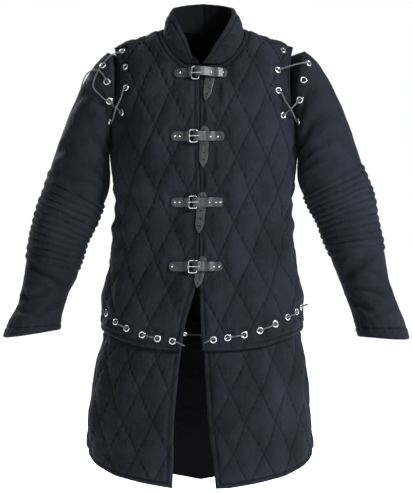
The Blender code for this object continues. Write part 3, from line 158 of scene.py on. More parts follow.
SLEEVE_LEFT = np.array([
    (0.2130, -0.044, 0.2015, -0.226, 0.0670, 0.003, 0.0135),
    (0.2300, -0.058, 0.2008, -0.246, 0.0700, 0.003, 0.0120),
    (0.2580, -0.095, 0.1995, -0.268, 0.0730, 0.003, 0.0055),
    (0.2880, -0.156, 0.1985, -0.290, 0.0730, 0.002, 0.000),
    (0.3110, -0.214, 0.1995, -0.314, 0.0710, 0.001, 0.000),
    (0.3310, -0.277, 0.2115, -0.345, 0.0680, 0.000, 0.000),
    (0.3480, -0.319, 0.2230, -0.372, 0.0650, -0.002, 0.000),
    (0.3580, -0.355, 0.2360, -0.397, 0.0620, -0.005, 0.000),
    (0.3650, -0.401, 0.2480, -0.427, 0.0590, -0.010, 0.000),
    (0.3740, -0.442, 0.2595, -0.458, 0.0560, -0.016, 0.000),
    (0.3800, -0.483, 0.2745, -0.496, 0.0530, -0.025, 0.000),
    (0.3870, -0.524, 0.2880, -0.532, 0.0480, -0.034, 0.000),
    (0.3980, -0.559, 0.3010, -0.566, 0.0460, -0.043, 0.000),
    (0.4130, -0.598, 0.3125, -0.602, 0.0500, -0.052, 0.000),
    (0.4260, -0.645, 0.3230, -0.640, 0.0530, -0.060, 0.000),
])
# x and z of the holes in the cloth
WAIST_RIGHT = [(-0.2000, -0.5930), (-0.1800, -0.609), (-0.1565, -0.622),
               (-0.1245, -0.6345), (-0.0930, -0.642), (-0.0625, -0.647)]
WAIST_LEFT = [(0.0210, -0.6440), (0.0500, -0.6400), (0.0840, -0.6345),
              (0.1160, -0.6260), (0.1480, -0.6130), (0.1740, -0.5995), (0.1930, -0.5890),
              (0.2030, -0.5800)]
WAIST_BACK = [0.315, 0.375, 0.435, 0.495]
SHOULDER_RIGHT = [(-0.1680, -0.046), (-0.1610, -0.082), (-0.1590, -0.126), (-0.1680, -0.177)]
SHOULDER_LEFT = [(0.1670, -0.045), (0.1540, -0.089), (0.1550, -0.132), (0.1650, -0.183)]
SLEEVE_HOLES = [38.0, 66.0, 92.0, 120.0]
# height of each strap's middle, ends of the tab and of the strap, tail's top and tip
STRAPS = [
    ("1", -0.0975, -0.0600, -0.0245, -0.0140, 0.0490, 0.0185, -0.0850, 0.0045, -0.1560),
    ("2", -0.2280, -0.0650, -0.0290, -0.0170, 0.0430, 0.0030, -0.2070, 0.0000, -0.2920),
    ("3", -0.3630, -0.0650, -0.0300, -0.0180, 0.0410, -0.0010, -0.3420, -0.0090, -0.4270),
    ("4", -0.4950, -0.0700, -0.0310, -0.0180, 0.0390, 0.0010, -0.4740, -0.0130, -0.5390),
]

# Creases, listed one by one: way round, height, half length, slant in degrees from level,
# half width, rise (below nought for a trough)
CREASES_FRONT_RIGHT = [
    (-0.215, -0.350, 0.060, 12, 0.012, -0.0030), (-0.225, -0.392, 0.055, 4, 0.014, -0.0034),
    (-0.205, -0.440, 0.070, -10, 0.013, -0.0028), (-0.200, -0.500, 0.060, -20, 0.015, -0.0022),
    (-0.120, -0.410, 0.060, 6, 0.016, -0.0016), (-0.180, -0.200, 0.055, 58, 0.013, -0.0026),
    (-0.100, -0.130, 0.060, 64, 0.018, -0.0016), (-0.080, -0.560, 0.050, 70, 0.018, -0.0016),
]
CREASES_FRONT_LEFT = [
    (0.220, -0.340, 0.055, -14, 0.012, -0.0030), (0.215, -0.385, 0.060, -3, 0.014, -0.0034),
    (0.205, -0.432, 0.065, 9, 0.014, -0.0030), (0.190, -0.490, 0.070, 22, 0.015, -0.0024),
    (0.110, -0.395, 0.055, -8, 0.016, -0.0016), (0.175, -0.190, 0.055, -60, 0.013, -0.0026),
    (0.090, -0.150, 0.050, -66, 0.018, -0.0016), (0.120, -0.580, 0.055, -74, 0.018, -0.0018),
]
CREASES_BACK = [
    (0.300, -0.350, 0.060, 10, 0.013, -0.0032), (0.310, -0.395, 0.065, -2, 0.014, -0.0034),
    (0.320, -0.445, 0.060, -12, 0.014, -0.0028), (0.760, -0.345, 0.060, -9, 0.013, -0.0032),
    (0.748, -0.392, 0.065, 3, 0.014, -0.0034), (0.740, -0.448, 0.055, 14, 0.014, -0.0026),
    (0.450, -0.410, 0.080, 5, 0.018, -0.0020), (0.610, -0.372, 0.080, -4, 0.018, -0.0020),
    (0.400, -0.150, 0.060, 62, 0.016, -0.0020), (0.665, -0.160, 0.060, -60, 0.016, -0.0020),
    (0.530, -0.560, 0.060, 84, 0.020, -0.0018), (0.590, -0.240, 0.060, 76, 0.020, -0.0014),
]
CREASES_SKIRT_RIGHT = [
    (-0.110, -0.800, 0.120, 82, 0.022, -0.0030), (-0.180, -0.780, 0.110, 98, 0.020, -0.0034),
    (-0.235, -0.760, 0.100, 88, 0.018, -0.0026), (-0.150, -0.860, 0.060, 76, 0.014, 0.0018),
]
CREASES_SKIRT_LEFT = [
    (0.090, -0.810, 0.120, 98, 0.022, -0.0028), (0.165, -0.780, 0.110, 84, 0.020, -0.0034),
    (0.230, -0.770, 0.100, 92, 0.018, -0.0026), (0.125, -0.880, 0.060, 102, 0.014, 0.0018),
]
CREASES_SKIRT_BACK = [
    (0.330, -0.790, 0.110, 85, 0.020, -0.0034), (0.410, -0.820, 0.120, 96, 0.022, -0.0034),
    (0.490, -0.800, 0.120, 88, 0.020, -0.0030), (0.580, -0.830, 0.120, 93, 0.022, -0.0034),
    (0.660, -0.800, 0.110, 84, 0.020, -0.0032), (0.740, -0.790, 0.110, 97, 0.020, -0.0030),
]
# the same on a sleeve, with degrees round from the underarm over the front, and the way up
# from the cuff
CREASES_SLEEVE_RIGHT = [
    (95, 0.560, 0.060, -34, 0.010, -0.0036), (130, 0.530, 0.055, -40, 0.009, -0.0034),
    (70, 0.505, 0.060, -26, 0.010, -0.0040), (110, 0.470, 0.065, -32, 0.009, -0.0036),
    (140, 0.435, 0.050, -24, 0.008, -0.0030), (60, 0.445, 0.045, -18, 0.008, -0.0032),
    (85, 0.410, 0.060, -20, 0.008, -0.0028), (40, 0.560, 0.040, -50, 0.009, -0.0030),
    (120, 0.185, 0.060, 24, 0.009, -0.0038), (70, 0.160, 0.055, 34, 0.010, -0.0040),
    (100, 0.120, 0.060, -22, 0.009, -0.0034), (140, 0.110, 0.045, 40, 0.009, -0.0030),
    (60, 0.085, 0.045, -30, 0.009, -0.0034), (110, 0.062, 0.060, 12, 0.008, -0.0026),
    (225, 0.540, 0.060, 32, 0.010, -0.0036), (270, 0.500, 0.060, 24, 0.010, -0.0036),
    (230, 0.460, 0.060, 28, 0.009, -0.0032), (260, 0.180, 0.060, -26, 0.010, -0.0036),
    (220, 0.130, 0.060, 20, 0.009, -0.0034), (280, 0.090, 0.050, -18, 0.009, -0.0030),
]
CREASES_SLEEVE_LEFT = [
    (100, 0.565, 0.055, -30, 0.010, -0.0034), (75, 0.525, 0.060, -24, 0.010, -0.0040),
    (125, 0.500, 0.060, -38, 0.009, -0.0034), (90, 0.470, 0.060, -26, 0.009, -0.0038),
    (60, 0.455, 0.050, -14, 0.008, -0.0030), (120, 0.430, 0.055, -28, 0.008, -0.0032),
    (45, 0.540, 0.040, -44, 0.009, -0.0030), (140, 0.560, 0.040, -52, 0.008, -0.0026),
    (110, 0.190, 0.055, 28, 0.009, -0.0036), (65, 0.170, 0.060, 30, 0.010, -0.0040),
    (130, 0.140, 0.050, -26, 0.009, -0.0032), (85, 0.110, 0.060, -18, 0.009, -0.0036),
    (55, 0.075, 0.050, -34, 0.009, -0.0034), (115, 0.065, 0.060, 10, 0.008, -0.0026),
    (230, 0.545, 0.060, 30, 0.010, -0.0036), (275, 0.495, 0.060, 22, 0.010, -0.0036),
    (225, 0.455, 0.060, 30, 0.009, -0.0032), (255, 0.185, 0.060, -24, 0.010, -0.0036),
    (225, 0.125, 0.060, 22, 0.009, -0.0034), (285, 0.085, 0.050, -16, 0.009, -0.0030),
]


# Camera, made first
def make_camera():
    """A level camera at the photo's angle, as far off as its mild perspective shows."""
    data = bpy.data.cameras.new("camera")
    data.sensor_width = 36.0
    data.lens = CAMERA_LENS
    camera = bpy.data.objects.new("camera", data)
    camera.location = CAMERA_AT
    camera.rotation_euler = (math.pi / 2, 0.0, 0.0)
    bpy.context.scene.collection.objects.link(camera)
    bpy.context.scene.camera = camera


# The figure that the patterns lie on, as in the part
def section_table():
    """Shares of the half girth and the unit section's x and y, walked from front to back.

    The section is a superellipse: (x/a)^n + (y/b)^n = 1.
    """
    a, b = 0.195, 0.124
    turn = np.linspace(0.0, math.pi, 1441)
    sine, cosine = np.sin(turn), np.cos(turn)
    reach = (np.abs(sine) / a) ** SQUARENESS + (np.abs(cosine) / b) ** SQUARENESS
    reach = reach ** (-1.0 / SQUARENESS)
    x, y = reach * sine, -reach * cosine
    walked = np.concatenate(([0.0], np.cumsum(np.hypot(np.diff(x), np.diff(y)))))
    return walked / walked[-1], x / a, y / b


SHARE, UNIT_X, UNIT_Y = section_table()


def smooth_columns(table, height):
    """The table's columns at the heights, eased between rows by a monotone cubic."""
    z = table[:, 0]
    out = []
    for column in table[:, 1:].T:
        step = np.diff(column) / np.diff(z)
        slope = np.zeros_like(z)
        left, right = step[:-1], step[1:]
        same = left * right > 0
        slope[1:-1] = np.where(same, 2 * left * right / np.where(same, left + right, 1), 0)
        slope[0], slope[-1] = step[0], step[-1]
        at = np.clip(height, z[0], z[-1])
        i = np.clip(np.searchsorted(z, at) - 1, 0, len(z) - 2)
        wide = z[i + 1] - z[i]
        t = (at - z[i]) / wide
        out.append((2 * t**3 - 3 * t**2 + 1) * column[i] + (t**3 - 2 * t**2 + t) * wide * slope[i]
                   + (3 * t**2 - 2 * t**3) * column[i + 1] + (t**3 - t**2) * wide * slope[i + 1])
    return out


def roll_radius(s):
    """Height over which the front or the back rounds over to the shoulder ridge."""
    return 0.110 - 0.010 * np.cos(math.pi * np.abs(s) / HALF_ROUND)


def body_point(table, s, h):
    """The pattern place on the figure: a rounded oval section at height h, whose depth
    shrinks with the cosine of the roll near the shoulder ridge while the height grows
    with its sine."""
    s, h = np.broadcast_arrays(np.asarray(s, float), np.asarray(h, float))
    wide, front, back, shift = smooth_columns(table, h)
    share = np.abs(s) / HALF_ROUND
    x = np.sign(s) * wide * np.interp(share, SHARE, UNIT_X)
    unit_y = np.interp(share, SHARE, UNIT_Y)
    roll = roll_radius(s)
    start = SHOULDER_TOP - SHOULDER_SLOPE * np.abs(x) - roll
    angle = np.clip((h - start) / roll, 0.0, math.pi / 2)
    z = np.where(h > start, start + roll * np.sin(angle), h)
    y = 0.003 + np.cos(angle) * np.where(unit_y < 0, front, back) * unit_y
    return np.stack([x + shift, y, z], axis=-1)


def round_place(table):
    """Surface of a pattern whose way round may run on past the back's middle."""
    def place(s, h):
        s = np.asarray(s, float)
        s = np.where(s > HALF_ROUND, s - 2 * HALF_ROUND, s)
        return body_point(table, s, h)
    return place


def ridge_height(s):
    """Pattern height at which the cloth reaches the shoulder ridge."""
    x = 0.195 * np.interp(np.abs(s) / HALF_ROUND, SHARE, UNIT_X)
    roll = roll_radius(s)
    return SHOULDER_TOP - SHOULDER_SLOPE * x - roll + roll * math.pi / 2


def pattern_spot(table, x, z, back=False):
    """Pattern places whose points on the figure have these x and z."""
    x, z = np.broadcast_arrays(np.asarray(x, float) + 1e-9, np.asarray(z, float))
    height = z
    half = len(SHARE) // 2
    for _ in range(12):
        wide, _, _, shift = smooth_columns(table, height)
        unit = np.minimum(0.9999, np.abs(x - shift) / wide)
        share = np.interp(unit, UNIT_X[:half + 1], SHARE[:half + 1])
        s = (1.0 - share if back else share) * HALF_ROUND
        roll = roll_radius(s)
        start = SHOULDER_TOP - SHOULDER_SLOPE * unit * wide - roll
        rise = np.clip((z - start) / roll, 0.0, 1.0)
        height = np.where(z > start, start + roll * np.arcsin(rise), z)
    return np.copysign(s, x), height


def unit_rows(v):
    """The vectors at length one."""
    return v / np.maximum(np.linalg.norm(v, axis=-1, keepdims=True), 1e-12)


def outward(place, s, h):
    """Unit normal of a pattern's surface by small differences."""
    e = 4e-4
    ds = place(s + e, h) - place(s - e, h)
    dh = place(s, h + e) - place(s, h - e)
    return unit_rows(np.cross(ds, dh))


def ease(x, low, high):
    """Nought below low, one above high, and a smooth step between."""
    t = np.clip((x - low) / (high - low), 0.0, 1.0)
    return t * t * (3 - 2 * t)


def on_front(x, z, lift):
    """Points over the front panels at these x and z, raised off the cloth along its normal."""
    place = round_place(JACKET_FORM)
    s, h = pattern_spot(JACKET_FORM, x, z)
    lift = np.broadcast_to(np.asarray(lift, float), s.shape)
    return place(s, h) + outward(place, s, h) * lift[..., None]


# Relief of the cloth
def line_distance(s, h, line):
    """Distance of pattern places from an open or closed line of points."""
    p = np.stack([s.ravel(), h.ravel()], axis=-1)
    best = np.full(len(p), 1e9)
    for a, b in zip(line[:-1], line[1:]):
        d = b - a
        t = np.clip(((p - a) @ d) / max(float(d @ d), 1e-12), 0, 1)
        off = p - a - t[:, None] * d
        best = np.minimum(best, np.hypot(off[:, 0], off[:, 1]))
    return best.reshape(s.shape)


def flats_mask(s, h, flats):
    """Nought where hardware presses the wadding flat, one away from it."""
    keep = np.ones(np.shape(s))
    for cs, ch, half_s, half_h in flats:
        off = np.hypot(np.maximum(np.abs(s - cs) - half_s, 0),
                       np.maximum(np.abs(h - ch) - half_h, 0))
        if half_h == 0:
            off = np.hypot(s - cs, h - ch) - half_s
        keep = np.minimum(keep, ease(off, 0.0005, 0.013))
    return keep


def swayed(s, h):
    """The pattern place with the slow sway of hand-guided stitching, up to 2.5 mm: two
    waves of different lengths across the lines and one along them."""
    return (s + 0.0014 * np.sin(31 * h + 11 * s) + 0.0009 * np.sin(67 * h - 23 * s + 1.2),
            h + 0.0022 * np.sin(27 * s + 9 * h + 0.6))


def quilting(s, h, size, puff):
    """Pillowed diamonds: the product of two slanted sines to a power below one, with
    short puckers that run across each stitched line and die out a few millimetres off it."""
    u, v = 2 * s / size[0], 2 * h / size[1]
    one, two = (u + v) / 2, (u - v) / 2
    a, b = np.abs(np.sin(math.pi * one)), np.abs(np.sin(math.pi * two))
    rise = puff * (a * b) ** 0.50
    wander = 0.9 * np.sin(5.3 * u + 2.1 * v) + 0.7 * np.sin(3.1 * v - 4.4 * u)
    pucker_one = (np.sin(math.tau * (4.6 * two + 0.37 * np.round(one)) + wander)
                  * np.exp(-(a / 0.32) ** 2))
    pucker_two = (np.sin(math.tau * (5.1 * one + 0.61 * np.round(two)) - wander)
                  * np.exp(-(b / 0.32) ** 2))
    return rise + 0.00115 * (pucker_one * ease(b, 0.05, 0.5) + pucker_two * ease(a, 0.05, 0.5))


def ripple(s, h):
    """Faint unevenness of hand-worked cloth: a few slanted sines of unlike lengths."""
    return (0.00045 * np.sin(61 * s + 34 * h + 1.1) * np.sin(47 * h - 23 * s)
            + 0.00030 * np.sin(118 * s - 73 * h) * np.sin(97 * h + 41 * s + 0.6)
            + 0.00014 * np.sin(263 * s + 149 * h) * np.sin(211 * h - 157 * s + 2.0))


def creases(s, h, table):
    """Sum of bell-shaped troughs along slanted lines, thinning out towards both ends."""
    total = np.zeros(np.shape(s))
    for cs, ch, half, slant, width, rise in table:
        c, n = math.cos(math.radians(slant)), math.sin(math.radians(slant))
        along = ((s - cs) * c + (h - ch) * n) / half
        off = (-(s - cs) * n + (h - ch) * c + 0.10 * half * along**2) / width
        fade = np.clip(1 - along**2, 0, 1) ** 1.5
        total += rise * fade * (np.exp(-off**2) - 0.42 * np.exp(-((np.abs(off) - 1.9) / 0.9) ** 2))
    return total


def seam_relief(distance, stitch):
    """Turned edge: it rolls down over the last three millimetres, stands a little proud as
    far as the stitch line and dips at it."""
    roll = -0.0014 * np.clip(1 - distance / 0.0030, 0, 1) ** 2
    band = 0.0013 * (1 - ease(distance, stitch - 0.001, stitch + 0.001))
    return roll + band - 0.0011 * np.exp(-((distance - stitch) / 0.0013) ** 2)


# Meshes
def add_mesh(name, points, faces, look, smooth=True, uv=None, period=None, painted_shade=None):
    """A mesh object from arrays, with its material and, if given, its own UV map in metres.

    period is an axis of the map and its length all round, past which the map runs on, and
    the last argument gives the painted shade on each point, from nought to one, deepest in a
    stitched line.
    """
    mesh = bpy.data.meshes.new(name)
    flat = [f for block in faces for f in np.asarray(block).tolist()]
    mesh.from_pydata(np.asarray(points, float).tolist(), [], flat)
    mesh.polygons.foreach_set("use_smooth", np.full(len(mesh.polygons), smooth))
    if uv is not None:
        corners = [np.asarray(uv, float)[np.asarray(block)] for block in faces]
        for part in corners if period else []:
            along = part[..., period[0]]
            far = np.ptp(along, axis=1, keepdims=True) > period[1] / 2
            along += np.where(far & (along < period[1] / 2), period[1], 0.0)
        layer = mesh.uv_layers.new(name="pattern")
        spread = np.concatenate([part.ravel() for part in corners])
        layer.data.foreach_set("uv", spread.astype(np.float32))
    if painted_shade is not None:
        deep = mesh.attributes.new("painted_shade", "FLOAT", "POINT")
        deep.data.foreach_set("value", np.asarray(painted_shade, np.float32))
    mesh.materials.append(look)
    mesh.update()
    thing = bpy.data.objects.new(name, mesh)
    bpy.context.scene.collection.objects.link(thing)
    return thing


def wall_faces(keep, wrap=False):
    """Quads of an outer and an inner grid with the same kept cells, and of the walls that
    join them along every border edge of the kept cells."""
    nu, nv = keep.shape
    columns, rows = nu + (0 if wrap else 1), nv + 1
    index = np.arange(columns * rows).reshape(columns, rows)
    right = np.roll(index, -1, axis=0) if wrap else index[1:]
    left = index if wrap else index[:-1]
    quads = np.stack([left[:, :-1], right[:, :-1], right[:, 1:], left[:, 1:]], axis=-1)[keep]
    edges = np.concatenate([quads[:, [k, (k + 1) % 4]] for k in range(4)])
    key = np.minimum(edges[:, 0], edges[:, 1]) * index.size + np.maximum(edges[:, 0], edges[:, 1])
    _, where, count = np.unique(key, return_index=True, return_counts=True)
    border = edges[where[count == 1]]
    shift = index.size
    rim = np.stack([border[:, 1], border[:, 0], border[:, 0] + shift, border[:, 1] + shift],
                   axis=-1)
    return [quads, quads[:, ::-1] + shift, rim]


def used_only(points, faces, uv):
    """Drops the points that no face uses and renumbers the faces."""
    used = np.unique(np.concatenate([np.ravel(f) for f in faces]))
    number = np.full(len(points), -1)
    number[used] = np.arange(len(used))
    return points[used], [number[f] for f in faces], uv[used]


def stitched(distance, at):
    """One on a line of stitches that runs this far from an edge, nought 3 mm off it: where shade is
    painted along the stitched groove.
    """
    return np.exp(-((distance - at) / 0.0016) ** 2)


def both_faces(painted_shade):
    """The outer face's painted shade, and ones for the inner face, painted nearer black than the
    cloth as painted shade inside the coat.
    """
    return np.concatenate([np.ravel(painted_shade), np.ones(np.size(painted_shade))])


def along_line(line, count):
    """Points at equal steps along an open line."""
    line = np.asarray(line, float)
    walked = np.concatenate(([0], np.cumsum(np.hypot(*np.diff(line, axis=0).T))))
    at = np.linspace(0, walked[-1], count)
    return np.stack([np.interp(at, walked, column) for column in line.T], axis=-1)


def patch(bottom, top, left, right, nu, nv):
    """Grid between four border lines: a Coons patch, the blend of the two pairs of
    opposite borders less the blend of the corners."""
    b, t = along_line(bottom, nu + 1)[:, None], along_line(top, nu + 1)[:, None]
    lf, rt = along_line(left, nv + 1)[None], along_line(right, nv + 1)[None]
    u = np.linspace(0, 1, nu + 1)[:, None, None]
    v = np.linspace(0, 1, nv + 1)[None, :, None]
    corners = ((1 - u) * (1 - v) * b[0, 0] + u * (1 - v) * b[-1, 0]
               + (1 - u) * v * t[0, 0] + u * v * t[-1, 0])
    return (1 - v) * b + v * t + (1 - u) * lf + u * rt - corners


def open_holes(s, h, holes, cells=None):
    """Moves grid points out of each round hole and says which cells stay, by the cells'
    middles, which are worked out unless they are given."""
    middle_s, middle_h = cells or ((s[:-1, :-1] + s[1:, 1:]) / 2, (h[:-1, :-1] + h[1:, 1:]) / 2)
    keep = np.ones(np.broadcast(middle_s, middle_h).shape, bool)
    for cs, ch, rs, rh in holes:
        keep &= np.hypot((middle_s - cs) / rs, (middle_h - ch) / rh) > HOLE_KEPT
        off_s, off_h = (s - cs) / rs, (h - ch) / rh
        far = np.maximum(np.hypot(off_s, off_h), 1e-9)
        push = np.where(far < HOLE_PUSHED, HOLE_PUSHED / far, 1.0)
        s, h = cs + off_s * rs * push, ch + off_h * rh * push
    return s, h, keep


def collar_seam(t):
    """Neck seam in the pattern for a share t of the way from front to back, one side."""
    mark = int(np.argmax(COLLAR_ROWS[:, 2]))
    rows = np.zeros((len(COLLAR_ROWS), 2))
    for k, r in enumerate(COLLAR_ROWS):
        if k != mark:
            rows[k] = pattern_spot(JACKET_FORM, r[1] + 1e-6, r[2], bool(r[3]))
    s = float(pattern_spot(JACKET_FORM, COLLAR_ROWS[mark, 1], -0.09)[0])
    rows[mark] = (s, float(ridge_height(s)))
    t = np.asarray(t, float)
    front, back = COLLAR_ROWS[:mark + 1], COLLAR_ROWS[mark:]
    out = []
    for column, turned_at in ((0, HALF_ROUND - s), (1, float(ridge_height(HALF_ROUND - s)))):
        ahead = smooth_columns(np.column_stack([front[:, 0], rows[:mark + 1, column]]), t)[0]
        turned = rows[mark:, column].copy()
        turned[0] = turned_at
        behind = smooth_columns(np.column_stack([back[:, 0], turned]), t)[0]
        out.append(np.where(t <= COLLAR_ROWS[mark, 0], ahead, behind))
    return np.stack(out, axis=-1)


def armhole_line():
    """Front line of the armhole from the underarm up to the ridge, on the left side."""
    line = ARMHOLE.copy()
    line[-1, 1] = float(ridge_height(line[-1, 0])) - SEAM_GAP
    share = np.linspace(0, 1, len(line))
    return np.stack(smooth_columns(np.column_stack([share, line]), np.linspace(0, 1, 120)), axis=-1)


def front_borders(side):
    """Hem, shoulder seam, front edge with the neck, and side with the armhole, of a front."""
    column = 1 if side < 0 else 2
    down = np.linspace(-0.088, -0.640, 60)
    edge = np.stack([np.interp(down, FRONT_EDGES[:, 0], FRONT_EDGES[:, column]), down], axis=-1)
    low = np.interp(abs(edge[-1, 0]), JACKET_HEM[:, 0], JACKET_HEM[:, 1])
    corner = np.array([np.interp(low, FRONT_EDGES[:, 0], FRONT_EDGES[:, column]), low])
    hem_s = np.linspace(corner[0] * side, SIDE_SEAM, 60)
    hem_h = np.interp(np.abs(hem_s), JACKET_HEM[:, 0], JACKET_HEM[:, 1])
    hem = np.stack([hem_s * side, hem_h], axis=-1)
    hem[0] = corner
    arm = armhole_line() * np.array([side, 1.0])
    neck = collar_seam(np.linspace(0.0, 0.68, 40)) * np.array([side, 1.0])
    neck = neck - np.array([0.0, SEAM_GAP])
    neck[0] = (edge[0, 0] + side * 0.002, -0.0835)
    seam_s = np.linspace(abs(neck[-1, 0]), abs(arm[-1, 0]), 40)
    seam = np.stack([seam_s * side, ridge_height(seam_s) - SEAM_GAP], axis=-1)
    side_line = np.concatenate([np.array([[SIDE_SEAM * side, hem[-1, 1]]]), arm])
    edge_line = np.concatenate([corner[None], edge[::-1], neck])
    return hem, seam, edge_line, side_line


def back_borders():
    """Hem, shoulder seams with the neck, and both sides with the armholes, of the back."""
    full = HALF_ROUND
    hem_s = np.linspace(full - SIDE_SEAM, full + SIDE_SEAM, 120)
    fold = full - np.abs(hem_s - full)
    hem = np.stack([hem_s, np.interp(fold, JACKET_HEM[:, 0], JACKET_HEM[:, 1])], axis=-1)
    arm = armhole_line() * np.array([-1.0, 1.0]) + np.array([full, 0.0])
    arm[-1, 1] = float(ridge_height(arm[-1, 0])) - SEAM_GAP
    left = np.concatenate([hem[:1], arm])
    knot = collar_seam(np.linspace(0.68001, 1.0, 30)) - np.array([0.0, SEAM_GAP])
    seam_s = np.linspace(arm[-1, 0], knot[0, 0], 40)[:-1]
    seam = np.stack([seam_s, ridge_height(seam_s) - SEAM_GAP], axis=-1)
    half = np.concatenate([seam, knot])
    mirror = half[:-1][::-1] * np.array([-1.0, 1.0]) + np.array([2 * full, 0.0])
    right = left * np.array([-1.0, 1.0]) + np.array([2 * full, 0.0])
    return hem, np.concatenate([half, mirror]), left, right


def skirt_borders(which):
    """Hem, top, and both upright edges of a skirt piece: -1 right, 1 left, 0 the back."""
    def hem_at(s):
        return np.interp(s, SKIRT_HEM[:, 0], SKIRT_HEM[:, 1])

    def top_at(s):
        return np.interp(s, JACKET_HEM[:, 0], JACKET_HEM[:, 1]) + SKIRT_TUCK

    if which == 0:
        s = np.linspace(HALF_ROUND - SIDE_SEAM, HALF_ROUND + SIDE_SEAM, 120)
        fold = HALF_ROUND - np.abs(s - HALF_ROUND)
        low = np.stack([s, hem_at(fold)], axis=-1)
        high = np.stack([s, top_at(fold)], axis=-1)
        return low, high, np.stack([low[0], high[0]]), np.stack([low[-1], high[-1]])
    column = 1 if which < 0 else 2
    rows = np.linspace(-0.945, -0.650, 40)
    edge = np.stack([np.interp(rows, SKIRT_EDGES[:, 0], SKIRT_EDGES[:, column]), rows], axis=-1)
    s = np.linspace(edge[0, 0] * which, SIDE_SEAM, 60)
    low = np.stack([s * which, hem_at(np.abs(s))], axis=-1)
    s = np.linspace(edge[-1, 0] * which, SIDE_SEAM, 60)
    high = np.stack([s * which, top_at(np.abs(s))], axis=-1)
    edge = np.concatenate([low[:1], edge[1:-1], high[:1]])
    return low, high, edge, np.stack([low[-1], high[-1]])


def make_panel(name, borders, table, wall, puff, size, holes, flats, crease_rows, cells, look):
    """A quilted panel as a closed wall: quilting, creases, turned edges and open holes in
    the outer face, a plain inner face that follows the creases."""
    bottom, top, left, right = borders
    if bottom[0, 0] > bottom[-1, 0]:
        bottom, top, left, right = bottom[::-1], top[::-1], right, left
    grid = patch(bottom, top, left, right, *cells)
    s, h, keep = open_holes(grid[..., 0], grid[..., 1], holes)
    place = round_place(table)
    ring = np.concatenate([bottom, right, top[::-1], left[::-1], bottom[:1]])
    edge = line_distance(s, h, ring[::2] if len(ring) > 260 else ring)
    pressed = flats_mask(s, h, flats)
    fade = ease(edge, 0.007, 0.016)
    if table is SKIRT_FORM:
        fold = HALF_ROUND - np.abs(np.abs(s) - HALF_ROUND)
        under = ease(np.interp(fold, JACKET_HEM[:, 0], JACKET_HEM[:, 1]) - h, -0.001, 0.012)
        fade = fade * under
        soft = (1.3 * creases(s, h, crease_rows) + 1.5 * ripple(s, h)) * under
    else:
        soft = (1.3 * creases(s, h, crease_rows) + 1.5 * ripple(s, h)) * (0.25 + 0.75 * pressed)
    sewn = swayed(s, h)
    relief = (quilting(*sewn, size, puff) * fade * pressed + soft
              + seam_relief(edge, EDGE_STITCH) * (0.2 + 0.8 * pressed))
    at, out = place(s, h), outward(place, s, h)
    outer = at + out * relief[..., None]
    inner = at - out * (wall - 0.7 * np.minimum(soft, 0.0) - 0.0004)[..., None]
    points = np.concatenate([outer.reshape(-1, 3), inner.reshape(-1, 3)])
    uv = np.tile(np.stack([sewn[0].ravel(), sewn[1].ravel()], axis=-1), (2, 1))
    # Painted shade along the edge's stitched line, partly the dark thread and partly shade in its
    # groove; the inner face is painted near black.
    uv = np.column_stack([uv, both_faces(stitched(edge, EDGE_STITCH))])
    points, faces, uv = used_only(points, wall_faces(keep), uv)
    return add_mesh(name, points, faces, look, uv=uv[:, :2], painted_shade=uv[:, 2])


def sleeve_place(table):
    """Surface of a sleeve: s is the way round from the underarm, h the way up from the cuff.

    Each section is an ellipse between the outer and the inner line, bowed at the armhole,
    past which the head narrows and goes on inside.
    """
    share = np.linspace(0, 1, len(table))
    rows = np.column_stack([share, table])

    def place(s, h):
        s, h = np.broadcast_arrays(np.asarray(s, float), np.asarray(h, float))
        down = np.clip(1.0 - h / SLEEVE_LONG, 0.0, 1.0)
        ox, oz, ix, iz, deep, mid, bow = smooth_columns(rows, down)
        turn = s / SLEEVE_ROUND * math.tau
        side, front = -np.cos(turn), np.sin(turn)
        toward = np.where(front > 0, 1.0, 1.1) * bow
        tuck = np.clip((h - SLEEVE_LONG) / SLEEVE_TUCK, 0.0, 1.0)
        top = np.clip(side, 0.0, 1.0) ** 1.5
        inside = (HEAD_IN + 0.016 * top) * tuck
        x = (ox + ix) / 2 + (ox - ix) / 2 * side - np.sign(ox) * (toward * front**2 + inside)
        z = (oz + iz) / 2 + (oz - iz) / 2 * side * (1 - (HEAD_LOW - 0.15 * top) * tuck)
        return np.stack([x, mid - deep * (1 - HEAD_FLAT * tuck) * front, z], axis=-1)
    return place


def sleeve_hole_ways():
    """Ways round of the sleeve's holes, at the front and as many at the back."""
    turns = [180.0 - a for a in SLEEVE_HOLES] + [180.0 + a for a in SLEEVE_HOLES]
    return [t / 360.0 * SLEEVE_ROUND for t in turns]


